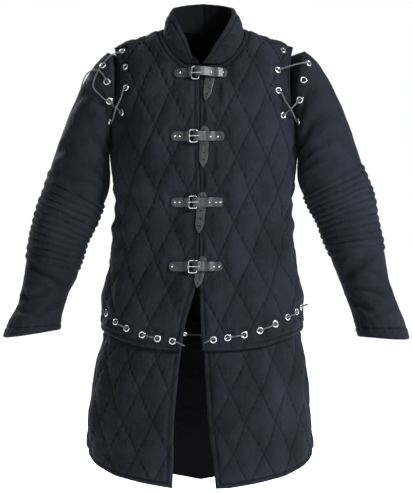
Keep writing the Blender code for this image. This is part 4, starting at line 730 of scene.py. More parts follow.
def make_sleeve(name, table, crease_rows, look):
    """A sleeve as a closed tube wall: uneven ribs round the elbow, which are sines to a
    power below one, creases, a stitched cuff and a stitched armhole edge."""
    nu, nv = 146, 214
    place = sleeve_place(table)
    mirrored = table[0, 0] < 0
    s, h = np.meshgrid(np.arange(nu) / nu * SLEEVE_ROUND, np.linspace(0, SLEEVE_TOP, nv + 1),
                       indexing="ij")
    holes = round_holes(place, [(a, SLEEVE_LONG - SLEEVE_HOLE_ROW) for a in sleeve_hole_ways()])
    middle = np.arange(nu) / nu * SLEEVE_ROUND + SLEEVE_ROUND / nu / 2
    s, h, keep = open_holes(s, h, holes, (middle[:, None], (h[:, :-1] + h[:, 1:]) / 2))
    across = (1.0 - h / SLEEVE_LONG - RIB_FROM) / (RIB_TO - RIB_FROM)
    turn = s / SLEEVE_ROUND * math.tau
    wave = (0.10 * np.sin(turn * 2 + 0.7) * np.sin(across * 9 + 1.0)
            + 0.06 * np.sin(turn * 5 + across * 14))
    within = ease(across, 0.0, 0.035) * (1 - ease(across, 0.965, 1.0))
    ribs = np.abs(np.sin(math.pi * (RIBS * across + wave * within))) ** 0.62
    uneven = 0.86 + 0.14 * np.sin(3 * turn + 11 * across)
    pucker = 0.0004 * np.sin(turn * 46 + 5 * across) * (1 - ribs) * within
    rows = [(row[0] / 360.0 * SLEEVE_ROUND, *row[1:]) for row in crease_rows]
    away = 1 - 0.75 * within
    soft = 1.5 * creases(s, h, rows) * away + 1.6 * ripple(s * 0.9, h)
    ends = (seam_relief(h, CUFF_STITCH)
            - 0.0011 * np.exp(-((SLEEVE_LONG - HEAD_STITCH - h) / 0.0013) ** 2))
    gathers = 0.0007 * np.sin(turn * 19 + 2) * (1 - ease(h, 0.018, 0.060)) * ease(h, 0.004, 0.016)
    flats = [(cs, ch, PRESSED, 0.0) for cs, ch, _, _ in holes]
    pressed = flats_mask(s, h, flats)
    shown = 1 - ease(h, SLEEVE_LONG - 0.003, SLEEVE_LONG + 0.006)
    raised = RIB_PUFF * ribs * uneven * within + pucker + gathers + soft
    relief = shown * 0.0008 + raised * pressed + ends
    at = place(s, h)
    out = outward(place, s, np.clip(h, 5e-4, SLEEVE_TOP - 5e-4))
    centre = at.mean(axis=0, keepdims=True)
    if ((at - centre) * out).sum() < 0:
        out = -out
    outer = at + out * relief[..., None]
    inner = at - out * (SLEEVE_WALL - 0.7 * np.minimum(soft, 0.0))[..., None]
    points = np.concatenate([outer.reshape(-1, 3), inner.reshape(-1, 3)])
    uv = np.tile(np.stack([s.ravel(), h.ravel()], axis=-1), (2, 1))
    faces = wall_faces(keep, wrap=True)
    if mirrored:
        faces = [f[:, ::-1] for f in faces]
    # Painted shade in the ribs' hollows and along the stitched lines at the cuff and the armhole;
    # the inner face is painted near black.
    line = ((1 - ribs) ** 3 * within
            + 0.8 * (stitched(h, CUFF_STITCH) + stitched(SLEEVE_LONG - h, HEAD_STITCH)))
    uv = np.column_stack([uv, both_faces(np.clip(line, 0, 1))])
    points, faces, uv = used_only(points, faces, uv)
    return add_mesh(name, points, faces, look, uv=uv[:, :2], period=(0, SLEEVE_ROUND),
                    painted_shade=uv[:, 2])


def collar_curves(count):
    """Neck seam and upper rim of the collar from the right front end to the left."""
    half = np.linspace(0, 1, count // 2 + 1)
    knot = collar_seam(half)
    rim = np.stack(smooth_columns(COLLAR_ROWS[:, [0, 4, 5, 6]], half), axis=-1)
    lower, upper = [], []
    for side in (-1, 1):
        s = knot[:, 0].copy()
        s[0] = abs(CLOSURE_X) if side < 0 else 0.0
        seat = body_point(JACKET_FORM, s * side, knot[:, 1])
        seat[0, 0] = CLOSURE_X + side * 0.0012
        fade = 1 - ease(half, 0.0, 0.5)
        top = rim * np.array([side, 1, 1])
        top[:, 0] += CLOSURE_X * fade
        lower.append(seat)
        upper.append(top)
    return (np.concatenate([lower[0], lower[1][:-1][::-1]]),
            np.concatenate([upper[0], upper[1][:-1][::-1]]))


def make_collar(look):
    """A standing collar: a bowed band from the neck seam to the rim, quilted in slanted
    rows, with a bound edge all round."""
    around, up = 260, 22
    low, high = collar_curves(around)
    rise = high - low
    number = np.arange(len(low))
    from_end = np.minimum(number, number[::-1])[:, None] * (36 / around)
    low = low + unit_rows(rise) * (0.0010 + 0.0018 * ease(6.0 - from_end, 0.0, 3.0))
    t = np.linspace(0, 1, up + 1)[None, :, None]
    middle = low[:, None, :] * (1 - t) + high[:, None, :] * t
    along = np.gradient(middle, axis=0)
    normal = unit_rows(np.cross(np.broadcast_to(rise[:, None, :], along.shape), along))
    away = ((middle - np.array([0.0, -0.01, 0.0])) * normal * np.array([1, 1, 0])).sum(axis=(1, 2))
    normal *= np.where(away < 0, -1.0, 1.0)[:, None, None]
    walked = walked_along(middle[:, up // 2])
    s = np.broadcast_to(walked[:, None], (around + 1, up + 1))
    width = np.linalg.norm(rise, axis=-1)[:, None]
    h = width * t[..., 0]
    edge = np.minimum(np.minimum(h, width - h), np.minimum(s, walked[-1] - s))
    u = (s - walked[-1] / 2) / 0.034
    quilt = (np.abs(np.sin(math.pi * (u + h / 0.068)))
             * np.abs(np.sin(math.pi * (u - h / 0.068)))) ** 0.5
    bound = (0.0010 * (1 - ease(width - h, 0.0075, 0.0095))
             - 0.0011 * np.exp(-((width - h - BINDING) / 0.0013) ** 2))
    relief = (np.sin(math.pi * t[..., 0]) * 0.0035
              + 0.0016 * quilt * ease(edge, 0.008, 0.015) + bound
              - 0.0012 * np.clip(1 - edge / 0.0028, 0, 1) ** 2 + ripple(s, h) * 1.2)
    outer = middle + normal * relief[..., None]
    wall = COLLAR_WALL - 0.0010 * np.clip(1 - edge / 0.0028, 0, 1) ** 2
    inner = middle - normal * wall[..., None]
    behind = ease(np.linspace(-1, 1, around + 1)[:, None] ** 2, 0.25, 0.04)
    inner[..., 2] -= COLLAR_DROP * behind * (1 - ease(h, 0.0, 0.012))
    points = np.concatenate([outer.reshape(-1, 3), inner.reshape(-1, 3)])
    uv = np.tile(np.stack([s.ravel(), h.ravel()], axis=-1), (2, 1))
    faces = wall_faces(np.ones((around, up), bool))
    # Painted shade in the quilting's hollows and along the binding's stitched line; the inner face
    # is painted near black.
    line = (1 - quilt) ** 4 * ease(edge, 0.009, 0.014) * 0.8 + stitched(width - h, BINDING)
    return add_mesh("collar_quilted", points, faces, look, uv=uv,
                    painted_shade=both_faces(np.clip(line, 0, 1)))


def round_holes(place, spots):
    """Each hole with its radii in the pattern, so that it is round on the cloth."""
    s, h = np.array(spots, float).T
    e = 4e-4
    along = np.linalg.norm(place(s + e, h) - place(s - e, h), axis=-1) / (2 * e)
    up = np.linalg.norm(place(s, h + e) - place(s, h - e), axis=-1) / (2 * e)
    return list(zip(s, h, EYELET_HOLE / along, EYELET_HOLE / up))


def hole_frames(place, spots):
    """Centre and outward direction of each hole."""
    s, h = np.array(spots).T
    return place(s, h), outward(place, s, h)


def turned_rings(centres, normals, profile, sides):
    """Points and faces of one turned shape at many places: each profile point (radius,
    height) goes round the normal; a closed profile gives rings."""
    centres, normals = np.asarray(centres, float), unit_rows(np.asarray(normals, float))
    helper = np.where(np.abs(normals[:, 2:]) < 0.8, [[0.0, 0.0, 1.0]], [[1.0, 0.0, 0.0]])
    side = unit_rows(np.cross(normals, helper))
    other = np.cross(normals, side)
    turn = np.arange(sides) / sides * math.tau
    ray = np.cos(turn)[None, :, None] * side[:, None] + np.sin(turn)[None, :, None] * other[:, None]
    profile = np.asarray(profile, float)
    points = (centres[:, None, None] + ray[:, :, None] * profile[None, None, :, :1]
              + normals[:, None, None] * profile[None, None, :, 1:])
    count, m = len(centres), len(profile)
    index = np.arange(count * sides * m).reshape(count, sides, m)
    ahead = np.roll(index, -1, axis=1)
    faces = np.stack([index, ahead, np.roll(ahead, -1, axis=2), np.roll(index, -1, axis=2)],
                     axis=-1)
    return points.reshape(-1, 3), faces.reshape(-1, 4)


def ring_profile(inner, outer, rise, foot):
    """Closed profile of a pressed eyelet: thin flange, round crown and a lip turned into
    the hole."""
    turn = np.linspace(0, math.pi, 9)
    middle, half = (inner + outer) / 2, (outer - inner) / 2
    height = foot + 0.0003 + (rise - 0.0003) * np.sin(turn) ** 0.8
    crown = np.stack([middle - half * np.cos(turn), height], axis=-1)
    lip = [(outer, foot), (inner + 0.0004, foot - 0.0006),
           (inner + 0.0004, foot - 0.0030), (inner, foot - 0.0030)]
    return np.concatenate([crown, lip])[::-1]


def walked_along(path):
    """Way walked from the path's start to each of its points."""
    return np.concatenate(([0.0], np.cumsum(np.linalg.norm(np.diff(path, axis=0), axis=-1))))


def smooth_path(points, step):
    """Centripetal curve through the points: a Catmull-Rom spline read at equal steps."""
    p = np.asarray(points, float)
    p = np.concatenate([2 * p[:1] - p[1:2], p, 2 * p[-1:] - p[-2:-1]])
    out = []
    for a, b, c, d in zip(p[:-3], p[1:-2], p[2:-1], p[3:]):
        k = max(2, int(np.linalg.norm(c - b) / step) + 1)
        t = np.linspace(0, 1, k, endpoint=False)[:, None]
        ta = np.sqrt(np.linalg.norm(b - a)) + 1e-9
        tb = np.sqrt(np.linalg.norm(c - b)) + 1e-9
        tc = np.sqrt(np.linalg.norm(d - c)) + 1e-9
        m1 = ((b - a) / ta - (c - a) / (ta + tb) + (c - b) / tb) * tb
        m2 = ((c - b) / tb - (d - b) / (tb + tc) + (d - c) / tc) * tb
        out.append((2 * t**3 - 3 * t**2 + 1) * b + (t**3 - 2 * t**2 + t) * m1
                   + (3 * t**2 - 2 * t**3) * c + (t**3 - t**2) * m2)
    return np.concatenate(out + [p[-2:-1]])


def tube(path, radius, sides=10, closed=False):
    """Points, faces and UV of a round tube along a path: the section turns with the least
    twist, each ring's side carried on from the one before, and both ends are closed by
    rounded caps unless the path is."""
    path = np.asarray(path, float)
    n = len(path)
    around = np.roll(path, -1, axis=0) - np.roll(path, 1, axis=0)
    ahead = unit_rows(around if closed else np.gradient(path, axis=0))
    side = np.zeros_like(path)
    seed = np.array([0.0, 0.0, 1.0]) if abs(ahead[0, 2]) < 0.8 else np.array([1.0, 0.0, 0.0])
    side[0] = np.cross(ahead[0], seed)
    for k in range(1, n):
        side[k] = side[k - 1] - ahead[k] * (side[k - 1] @ ahead[k])
        side[k] /= np.linalg.norm(side[k])
    side = unit_rows(side)
    other = np.cross(ahead, side)
    size = np.full(n, float(radius)) if np.isscalar(radius) else np.asarray(radius, float)
    if not closed:
        size = size.copy()
        size[0] *= 0.55
        size[-1] *= 0.55
    turn = np.arange(sides) / sides * math.tau
    ring = (path[:, None] + size[:, None, None] * (np.cos(turn)[None, :, None] * side[:, None]
                                                   + np.sin(turn)[None, :, None] * other[:, None]))
    index = np.arange(n * sides).reshape(n, sides)
    nxt = np.roll(index, -1, axis=0) if closed else index[1:]
    cur = index if closed else index[:-1]
    quads = np.stack([cur, np.roll(cur, -1, axis=1), np.roll(nxt, -1, axis=1), nxt], axis=-1)
    quads = quads.reshape(-1, 4)
    walked = walked_along(path)
    uv = np.stack(np.broadcast_arrays(walked[:, None], turn[None] * LACE_RADIUS), axis=-1)
    uv = uv.reshape(-1, 2)
    faces = [quads]
    if not closed:
        faces += [index[0][::-1][None], index[-1][None]]
    return ring.reshape(-1, 3), faces, uv


def joined(parts):
    """Several point and face sets as one."""
    points, faces, uv, shift = [], [], [], 0
    for p, f, w in parts:
        points.append(p)
        uv.append(w)
        faces += [np.asarray(block) + shift for block in f]
        shift += len(p)
    return np.concatenate(points), faces, np.concatenate(uv)


def rounded(along, whole, soft, other=0.0, pointed=False):
    """Share of the width along a strip whose ends are part of a circle or an ellipse, or
    whose far end is a pointed arch: one less the square of the share still to go."""
    out = np.ones(len(along))
    for away, reach, root in ((along, soft, 0.5), (whole - along, other, 1.0 if pointed else 0.5)):
        if reach > 0:
            out *= np.clip(1 - np.clip(1 - away / reach, 0, 1) ** 2, 0.0, 1.0) ** root
    return np.maximum(out, 0.04)


def leather_strip(route, halves, across, thick, holes=()):
    """Points, faces and UV of a strip of leather on the front, with holes punched through.

    route has the x, z and height over the cloth of the inner face's middle line, halves the
    half widths, across the direction of the width. The outer face lies a thickness off the
    route along its normal, is rounded at its edges and has a creased line beside them.
    """
    across = np.asarray(across, float) / math.hypot(*across)
    ahead = np.array([across[1], -across[0]])
    u = route[:, :2] @ ahead
    walked = np.concatenate(([0.0], np.cumsum(np.hypot(np.diff(u), np.diff(route[:, 2])))))
    du, dl = np.gradient(u, walked), np.gradient(route[:, 2], walked)
    s = np.broadcast_to(walked[:, None], (len(route), 23))
    h = halves[:, None] * np.linspace(-1, 1, 23)
    s, h, keep = open_holes(s, h, holes)
    from_end = np.minimum(s, walked[-1] - s) + 2e-4
    edge = np.minimum(np.interp(s, walked, halves) - np.abs(h), from_end)
    roll = np.clip(1 - edge / 0.0011, 0, 1) ** 2
    rise = thick - 0.0007 * roll - 0.00035 * np.exp(-((edge - 0.0022) / 0.0005) ** 2)
    slope_u, slope_l = np.interp(s, walked, du), np.interp(s, walked, dl)
    layers = []
    for off in (rise, 0.0004 * roll):
        x = np.interp(s, walked, route[:, 0]) + across[0] * h - slope_l * off * ahead[0]
        z = np.interp(s, walked, route[:, 1]) + across[1] * h - slope_l * off * ahead[1]
        lift = np.interp(s, walked, route[:, 2]) + slope_u * off
        layers.append(on_front(x, z, lift).reshape(-1, 3))
    uv = np.tile(np.stack([s.ravel(), h.ravel()], axis=-1), (2, 1))
    return used_only(np.concatenate(layers), wall_faces(keep), uv)


def route_through(stations, count):
    """Equal steps along a smooth line through stations of x, z and height."""
    line = smooth_path(np.array(stations, float), 0.0004)
    walked = walked_along(line)
    at = np.linspace(0, walked[-1], count)
    return np.stack([np.interp(at, walked, column) for column in line.T], axis=-1), at


def rivet_profile(radius, rise):
    """Closed profile of a domed rivet head with a flat washer below it."""
    turn = np.linspace(0, math.pi / 2, 7)
    dome = np.stack([radius * np.cos(turn), 0.0003 + rise * np.sin(turn)], axis=-1)
    dome[-1, 0] = 2e-5
    washer = [(2e-5, -0.0012), (radius * 1.25, -0.0012), (radius * 1.25, 0.0002)]
    return np.concatenate([washer, dome])


def make_closure(row, tab_rivets, strap_rivets, punched, leather, metal):
    """One buckled strap: the tab that holds the buckle, the frame and its prong, the strap
    that bends down through the frame, its hanging tail and the rivets."""
    tag, z, tab_out, tab_in, strap_in, strap_out, tail_x, tail_top, tip_x, tip_z = row
    half = STRAP_HEIGHT / 2
    tab, at = route_through([(tab_out, z, CLEAR), (tab_out + 0.010, z, CLEAR),
                             (tab_in - 0.010, z, CLEAR), (tab_in - 0.004, z, 0.0056),
                             (tab_in, z, BUCKLE_RISE - STRAP_THICK / 2)], 50)
    points, faces, uv = leather_strip(tab, half * rounded(at, at[-1], 0.0085), (0, 1), STRAP_THICK)
    piece = add_mesh("tab_" + tag, points, faces, leather, uv=uv)
    dress(piece, "strap_leather", "strap_tab_" + tag)

    over = CLEAR + STRAP_THICK + 0.0016
    bar = BUCKLE_RISE + BUCKLE_BAR + 0.0038
    stations = [(strap_in + 0.0030, z, 0.0046), (strap_in - 0.0006, z, 0.0068),
                (strap_in - 0.0010, z, bar - 0.0026), (strap_in + 0.0016, z, bar),
                (strap_in + 0.0078, z, bar),
                (max(tail_x, strap_in + 0.0150), z, over + 0.0012), (tail_x + 0.0125, z, over),
                (min(tail_x + 0.021, strap_out - 0.008), z, CLEAR), (strap_out, z, CLEAR)]
    line, at = route_through(stations, 90)
    points, faces, uv = leather_strip(line, half * rounded(at, at[-1], 0.0, 0.0060), (0, 1),
                                      STRAP_THICK)
    piece = add_mesh("band_" + tag, points, faces, leather, uv=uv)
    dress(piece, "strap_leather", "strap_" + tag)

    length = math.hypot(tip_x - tail_x, tip_z - tail_top)
    ahead = np.array([tip_x - tail_x, tip_z - tail_top]) / length
    at = np.linspace(0, length, 84)
    lift = CLEAR + 0.0002 + 0.0030 * np.clip(at / length - 0.35, 0, 1) ** 1.6
    tail = np.column_stack([tail_x + ahead[0] * at, tail_top + ahead[1] * at, lift])
    size = np.interp(at, [0, 0.02, length * 0.45, length * 0.62, length],
                     [1.0, 1.0, 0.98, 0.95, 0.90])
    holes = [(share * length, 0.0, 0.0016, 0.0016) for share in punched]
    points, faces, uv = leather_strip(tail, half * size * rounded(at, length, 0.0150, 0.0210, True),
                                      (-ahead[1], ahead[0]), STRAP_THICK - 0.0004, holes)
    piece = add_mesh("tail_" + tag, points, faces, leather, uv=uv)
    dress(piece, "strap_leather", "strap_tail_" + tag)

    y = float(on_front(np.array(tab_in), np.array(z), 0.0)[1]) - BUCKLE_RISE
    left, right, high, soft = tab_in + 0.0014, strap_in + 0.0048, half + 0.0026, 0.0030
    turn = np.linspace(0, math.pi / 2, 7)
    frame_path = []
    for x0, z0, start in ((right - soft, high - soft, 0.0), (left + soft, high - soft, 0.5),
                          (left + soft, -high + soft, 1.0), (right - soft, -high + soft, 1.5)):
        angle = turn + start * math.pi
        frame_path.append(np.stack([x0 + soft * np.cos(angle), np.full(7, y),
                                    z + z0 + soft * np.sin(angle)], axis=-1))
    frame_path = np.concatenate(frame_path)
    long_sides = [(right, y, z + v) for v in np.linspace(-high + soft, high - soft, 7)[1:-1]]
    frame_path = np.concatenate([frame_path, long_sides])
    ring = tube(frame_path, BUCKLE_BAR, 12, closed=True)
    prong = [(left + 0.0021, y + 0.0005, z), (left + 0.0012, y + 0.0020, z),
             (left - 0.0008, y + 0.0021, z), (left - 0.0022, y + 0.0004, z),
             (left - 0.0014, y - 0.0018, z), (left + 0.0016, y - 0.0026, z),
             (strap_in - 0.0005, y - 0.0078, z), (strap_in + 0.0050, y - 0.0086, z),
             (strap_in + 0.0092, y - 0.0083, z)]
    nib = smooth_path(prong, 0.0006)
    share = np.linspace(0, 1, len(nib))
    pin = tube(nib, 0.00105 - 0.00035 * share**3, 10)
    metal_parts = [ring, pin]
    for x in tab_rivets:
        metal_parts.append(rivet_at(x, z, np.interp(x, tab[:, 0], tab[:, 2]) + STRAP_THICK))
    for x, level in strap_rivets:
        flat = line[line[:, 2].argmax():]
        lift = np.interp(x, flat[:, 0], flat[:, 2]) + STRAP_THICK
        metal_parts.append(rivet_at(x, z + level, lift))
    points, faces, uv = joined(metal_parts)
    piece = add_mesh("frame_and_rivets_" + tag, points, faces, metal, uv=uv)
    dress(piece, "nickel", "buckle_" + tag)


def rivet_at(x, z, lift):
    """A domed rivet seated on leather that stands this far off the cloth."""
    centre = on_front(np.array([x]), np.array([z]), lift)
    normal = centre - on_front(np.array([x]), np.array([z]), lift - 0.001)
    points, faces = turned_rings(centre, normal, rivet_profile(0.0018, 0.0010), 16)
    return points, [faces], points[:, [0, 2]]


def make_rings(name, centres, normals, look, *nodes):
    """Pressed eyelets in a row of holes."""
    profile = ring_profile(EYELET_HOLE - 0.0004, EYELET_OUTER, EYELET_RISE, 0.0009)
    points, faces = turned_rings(centres, normals, profile, 24)
    return dress(add_mesh(name, points, [faces], look), "nickel", *nodes)


def threaded(holes, first_out, under, hump, arched=False, rest=ON_EYELET):
    """Points of a lace through holes in turn, outside and inside by turns.

    holes are pairs of centre and outward direction; hump lifts the middle of an outer run,
    and an arched run is lifted to the front, over the lace that it crosses.
    """
    points = []
    outside = first_out
    for k, (centre, normal) in enumerate(holes):
        other = k - 1 if outside else k + 1
        sign = 1.0
        if not 0 <= other < len(holes):
            other, sign = 2 * k - other, -1.0
        ahead = np.asarray(holes[other][0]) - centre
        ahead = unit_rows(ahead - normal * (ahead @ normal)) * LACE_REST * sign
        steps = [centre + ahead + normal * rest]
        steps += [centre + normal * step for step in (0.0030, -under * 0.75, -under)]
        if not outside:
            steps = steps[::-1]
        if k:
            last, before = holes[k - 1]
            mean = unit_rows(np.asarray(before) + normal)
            lift = LACE_OVER + hump if outside else -under
            if arched:
                points += [last + (centre - last) * share + np.array([0.0, -rise, 0.0])
                           for share, rise in ((0.32, 0.0125), (0.60, 0.0172))]
            else:
                points.append((last + centre) / 2 + mean * lift)
        points += steps
        outside = not outside
    return points


def make_lace(name, points, look, *nodes):
    """A braided cord along a smooth line through the points."""
    made, faces, uv = tube(smooth_path(points, LACE_STEP), LACE_RADIUS, 10)
    lace = add_mesh(name, made, faces, look, uv=uv, period=(1, math.tau * LACE_RADIUS))
    return dress(lace, "lace_cord", *nodes)


# Materials
def linear(code):
    """An sRGB hex colour as linear red, green, blue and alpha."""
    parts = [int(code[i:i + 2], 16) / 255 for i in (1, 3, 5)]
    parts = [c / 12.92 if c <= 0.04045 else ((c + 0.055) / 1.055) ** 2.4 for c in parts]
    return (*parts, 1.0)


def node(tree, kind, links=(), **settings):
    """Adds a node: settings are socket values or node properties, links are pairs of a
    source socket and this node's input name."""
    made = tree.nodes.new(kind)
    for key, value in settings.items():
        if hasattr(made, key):
            setattr(made, key, value)
        else:
            made.inputs[key.replace("_", " ")].default_value = value
    for source, target in links:
        tree.links.new(source, made.inputs[target])
    return made


def new_look(name, **sockets):
    """A material with its shader's constant sockets set, its tree and its shader."""
    look = bpy.data.materials.new(name)
    look.use_nodes = True
    shader = look.node_tree.nodes["Principled BSDF"]
    for key, value in sockets.items():
        shader.inputs[key.replace("_", " ")].default_value = value
    return look, look.node_tree, shader


def ramp(tree, source, low, high, dark, light):
    """Colour ramp between two hex colours over a range of the source."""
    made = node(tree, "ShaderNodeValToRGB", [(source, "Fac")])
    made.color_ramp.elements[0].position = low
    made.color_ramp.elements[0].color = linear(dark)
    made.color_ramp.elements[1].position = high
    made.color_ramp.elements[1].color = linear(light)
    return made


def worked(tree, operation, first, second=None):
    """Outcome of a Math node on one or two sockets, or on a socket and a number."""
    made = node(tree, "ShaderNodeMath", [(first, 0)], operation=operation)
    if isinstance(second, float):
        made.inputs[1].default_value = second
    elif second is not None:
        tree.links.new(second, made.inputs[1])
    return made.outputs[0]


def tinted(tree, share, below, code):
    """The colour below, mixed by a share with one hex colour."""
    made = node(tree, "ShaderNodeMix", [(share, "Factor"), (below, 6)], data_type="RGBA")
    made.inputs[7].default_value = linear(code)
    return made.outputs[2]


def noise(tree, place, scale, detail, **settings):
    """A noise texture over the object's own metres."""
    return node(tree, "ShaderNodeTexNoise", [(place.outputs["Object"], "Vector")],
                Scale=scale, Detail=detail, **settings)


def stitched_lines(tree, place, size):
    """Nought on a diamond's stitched lines and one off them, which marks where shade is painted: the
    lesser of two slanted sines of the pattern's own UV, in metres."""
    spot = node(tree, "ShaderNodeSeparateXYZ", [(place.outputs["UV"], "Vector")])
    across = worked(tree, "MULTIPLY", spot.outputs[0], math.pi / size[0])
    up = worked(tree, "MULTIPLY", spot.outputs[1], math.pi / size[1])
    waves = [worked(tree, "ABSOLUTE", worked(tree, "SINE", worked(tree, kind, across, up)))
             for kind in ("ADD", "SUBTRACT")]
    return worked(tree, "MINIMUM", *waves)


def canvas_look(name, dark, light, size=None):
    """Plain-woven cotton canvas: matt, with a short nap that lightens it at grazing angles,
    a weave of two crossing sets of threads, painted shade from a point attribute and, on a
    quilted piece, painted shade along the stitched lines, where the stitching pulls the cloth in,
    partly the dark thread."""
    look, tree, shader = new_look(name, Roughness=0.88, Sheen_Weight=0.045, Sheen_Roughness=0.40,
                                  Sheen_Tint=linear("#aab4c8"), Specular_IOR_Level=0.10)
    place = node(tree, "ShaderNodeTexCoord")
    patches = noise(tree, place, 9.0, 5.0, Roughness=0.6)
    colour = ramp(tree, patches.outputs["Fac"], 0.36, 0.66, dark, light)
    fuzz = noise(tree, place, 900.0, 2.0, Roughness=0.7)
    flecks = ramp(tree, fuzz.outputs["Fac"], 0.45, 0.80, "#000000", "#ffffff")
    last = tinted(tree, flecks.outputs["Color"], colour.outputs["Color"], "#24262f")
    # Painted shade: a point attribute darkens the colour towards near black in stitched lines, in
    # the hollows of ribs and quilting, and on the inner face.
    deep = node(tree, "ShaderNodeAttribute", attribute_name="painted_shade")
    last = tinted(tree, worked(tree, "MULTIPLY", deep.outputs["Fac"], 0.90), last, "#020202")
    if size:
        # Painted shade along the diamonds' stitched lines, partly the dark thread.
        line = stitched_lines(tree, place, size)
        near = node(tree, "ShaderNodeMapRange", [(line, "Value")], From_Min=0.02, From_Max=0.11,
                    To_Min=0.72, To_Max=0.0)
        last = tinted(tree, near.outputs[0], last, "#050506")
    tree.links.new(last, shader.inputs["Base Color"])
    warp, weft = (node(tree, "ShaderNodeTexWave", [(place.outputs["UV"], "Vector")],
                       bands_direction=way, Scale=WAVE_UNIT / WEAVE / 2, Distortion=0.6, Detail=1.0)
                  for way in "XY")
    both = worked(tree, "MULTIPLY", warp.outputs["Fac"], weft.outputs["Fac"])
    nap = worked(tree, "ADD", both, fuzz.outputs["Fac"])
    rumple = noise(tree, place, 48.0, 3.0, Roughness=0.55, Distortion=0.6)
    soft = node(tree, "ShaderNodeBump", [(rumple.outputs["Fac"], "Height")],
                Strength=0.60, Distance=0.0065)
    bump = node(tree, "ShaderNodeBump", [(nap, "Height"), (soft.outputs["Normal"], "Normal")],
                Strength=0.55, Distance=0.0006)
    tree.links.new(bump.outputs["Normal"], shader.inputs["Normal"])
    return look


def leather_look():
    """Vegetable-tanned strap leather dyed dark grey: fine grain, waxed, with rubbed highs."""
    look, tree, shader = new_look("dyed_strap_leather", Roughness=0.46, Specular_IOR_Level=0.45,
                                  Coat_Weight=0.12, Coat_Roughness=0.35)
    place = node(tree, "ShaderNodeTexCoord")
    wear = noise(tree, place, 60.0, 6.0, Roughness=0.65)
    colour = ramp(tree, wear.outputs["Fac"], 0.35, 0.72, "#131315", "#323237")
    tree.links.new(colour.outputs["Color"], shader.inputs["Base Color"])
    grain = node(tree, "ShaderNodeTexVoronoi", [(place.outputs["Object"], "Vector")], Scale=900.0)
    fine = noise(tree, place, 300.0, 4.0)
    both = worked(tree, "ADD", grain.outputs["Distance"], fine.outputs["Fac"])
    bump = node(tree, "ShaderNodeBump", [(both, "Height")], Strength=0.30, Distance=0.0004)
    tree.links.new(bump.outputs["Normal"], shader.inputs["Normal"])
    rough = node(tree, "ShaderNodeMapRange", [(wear.outputs["Fac"], "Value")],
                 To_Min=0.36, To_Max=0.58)
    tree.links.new(rough.outputs[0], shader.inputs["Roughness"])
    return look


def nickel_look():
    """Nickel-plated pressed brass: bright, with fine scratches that spread its highlights."""
    look, tree, shader = new_look("nickel_plate", Metallic=1.0, Roughness=0.24)
    place = node(tree, "ShaderNodeTexCoord")
    scratches = noise(tree, place, 420.0, 4.0, Roughness=0.7)
    colour = ramp(tree, scratches.outputs["Fac"], 0.30, 0.70, "#b9b9bc", "#dededf")
    tree.links.new(colour.outputs["Color"], shader.inputs["Base Color"])
    rough = node(tree, "ShaderNodeMapRange", [(scratches.outputs["Fac"], "Value")],
                 To_Min=0.14, To_Max=0.36)
    tree.links.new(rough.outputs[0], shader.inputs["Roughness"])
    bump = node(tree, "ShaderNodeBump", [(scratches.outputs["Fac"], "Height")],
                Strength=0.10, Distance=0.0002)
    tree.links.new(bump.outputs["Normal"], shader.inputs["Normal"])
    return look


def cord_look():
    """Braided cotton cord: two sets of strands that wind opposite ways and cross,
    coloured darker in the hollows between strands and lighter on their crowns as painted shade and
    highlight.
    """
    look, tree, shader = new_look("braided_cotton_cord", Roughness=0.80, Sheen_Weight=0.25,
                                  Sheen_Roughness=0.5)
    place = node(tree, "ShaderNodeTexCoord")
    strands = []
    for slant in (0.62, -0.62):
        turned = node(tree, "ShaderNodeMapping", [(place.outputs["UV"], "Vector")],
                      Rotation=(0, 0, slant))
        wound = node(tree, "ShaderNodeTexWave", [(turned.outputs[0], "Vector")],
                     bands_direction="X", Scale=260.0)
        strands.append(wound.outputs["Fac"])
    both = worked(tree, "MAXIMUM", *strands)
    # Painted shade and highlight: the colour follows the braid's height, dark in the hollows and
    # light on the crowns.
    colour = ramp(tree, both, 0.25, 0.95, "#1a1a1d", "#4a4a50")
    tree.links.new(colour.outputs["Color"], shader.inputs["Base Color"])
    bump = node(tree, "ShaderNodeBump", [(both, "Height")], Strength=0.55, Distance=0.0004)
    tree.links.new(bump.outputs["Normal"], shader.inputs["Normal"])
    return look


def backdrop_look():
    """White paper lit from below, as on a light table, so that it stays pale everywhere."""
    look, tree, shader = new_look("lit_white_paper", Roughness=0.9, Specular_IOR_Level=0.1,
                                  Emission_Color=(1.0, 1.0, 1.0, 1.0), Emission_Strength=0.97)
    place = node(tree, "ShaderNodeTexCoord")
    tone = node(tree, "ShaderNodeTexNoise", [(place.outputs["Object"], "Vector")], Scale=0.7)
    colour = ramp(tree, tone.outputs["Fac"], 0.2, 0.8, "#f6f6f6", "#ffffff")
    tree.links.new(colour.outputs["Color"], shader.inputs["Base Color"])
    return look


def dress(piece, slot, *nodes):
    """Rides a piece on the one body and hides the nodes that it stands for; slot is not used."""
    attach(piece, "root")
    if nodes:
        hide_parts(*nodes)
    return piece


def spots_of(holes):
    """Pattern places of the body's holes, from their x and z."""
    return [tuple(float(v) for v in pattern_spot(JACKET_FORM, x, z)) for x, z in holes]


# Holes, as in the part
body = round_place(JACKET_FORM)
waist_right, waist_left = spots_of(WAIST_RIGHT), spots_of(WAIST_LEFT)
arm_right, arm_left = spots_of(SHOULDER_RIGHT), spots_of(SHOULDER_LEFT)
back_level = np.interp(WAIST_BACK, JACKET_HEM[:, 0], JACKET_HEM[:, 1]) + 0.024
waist_back = [(s, float(h)) for s, h in zip(WAIST_BACK, back_level)]
waist_back += [(2 * HALF_ROUND - s, h) for s, h in waist_back[::-1]]
arm_back = [(HALF_ROUND - s, h + 0.012) for s, h in arm_left]
arm_back += [(2 * HALF_ROUND - s, h) for s, h in arm_back]


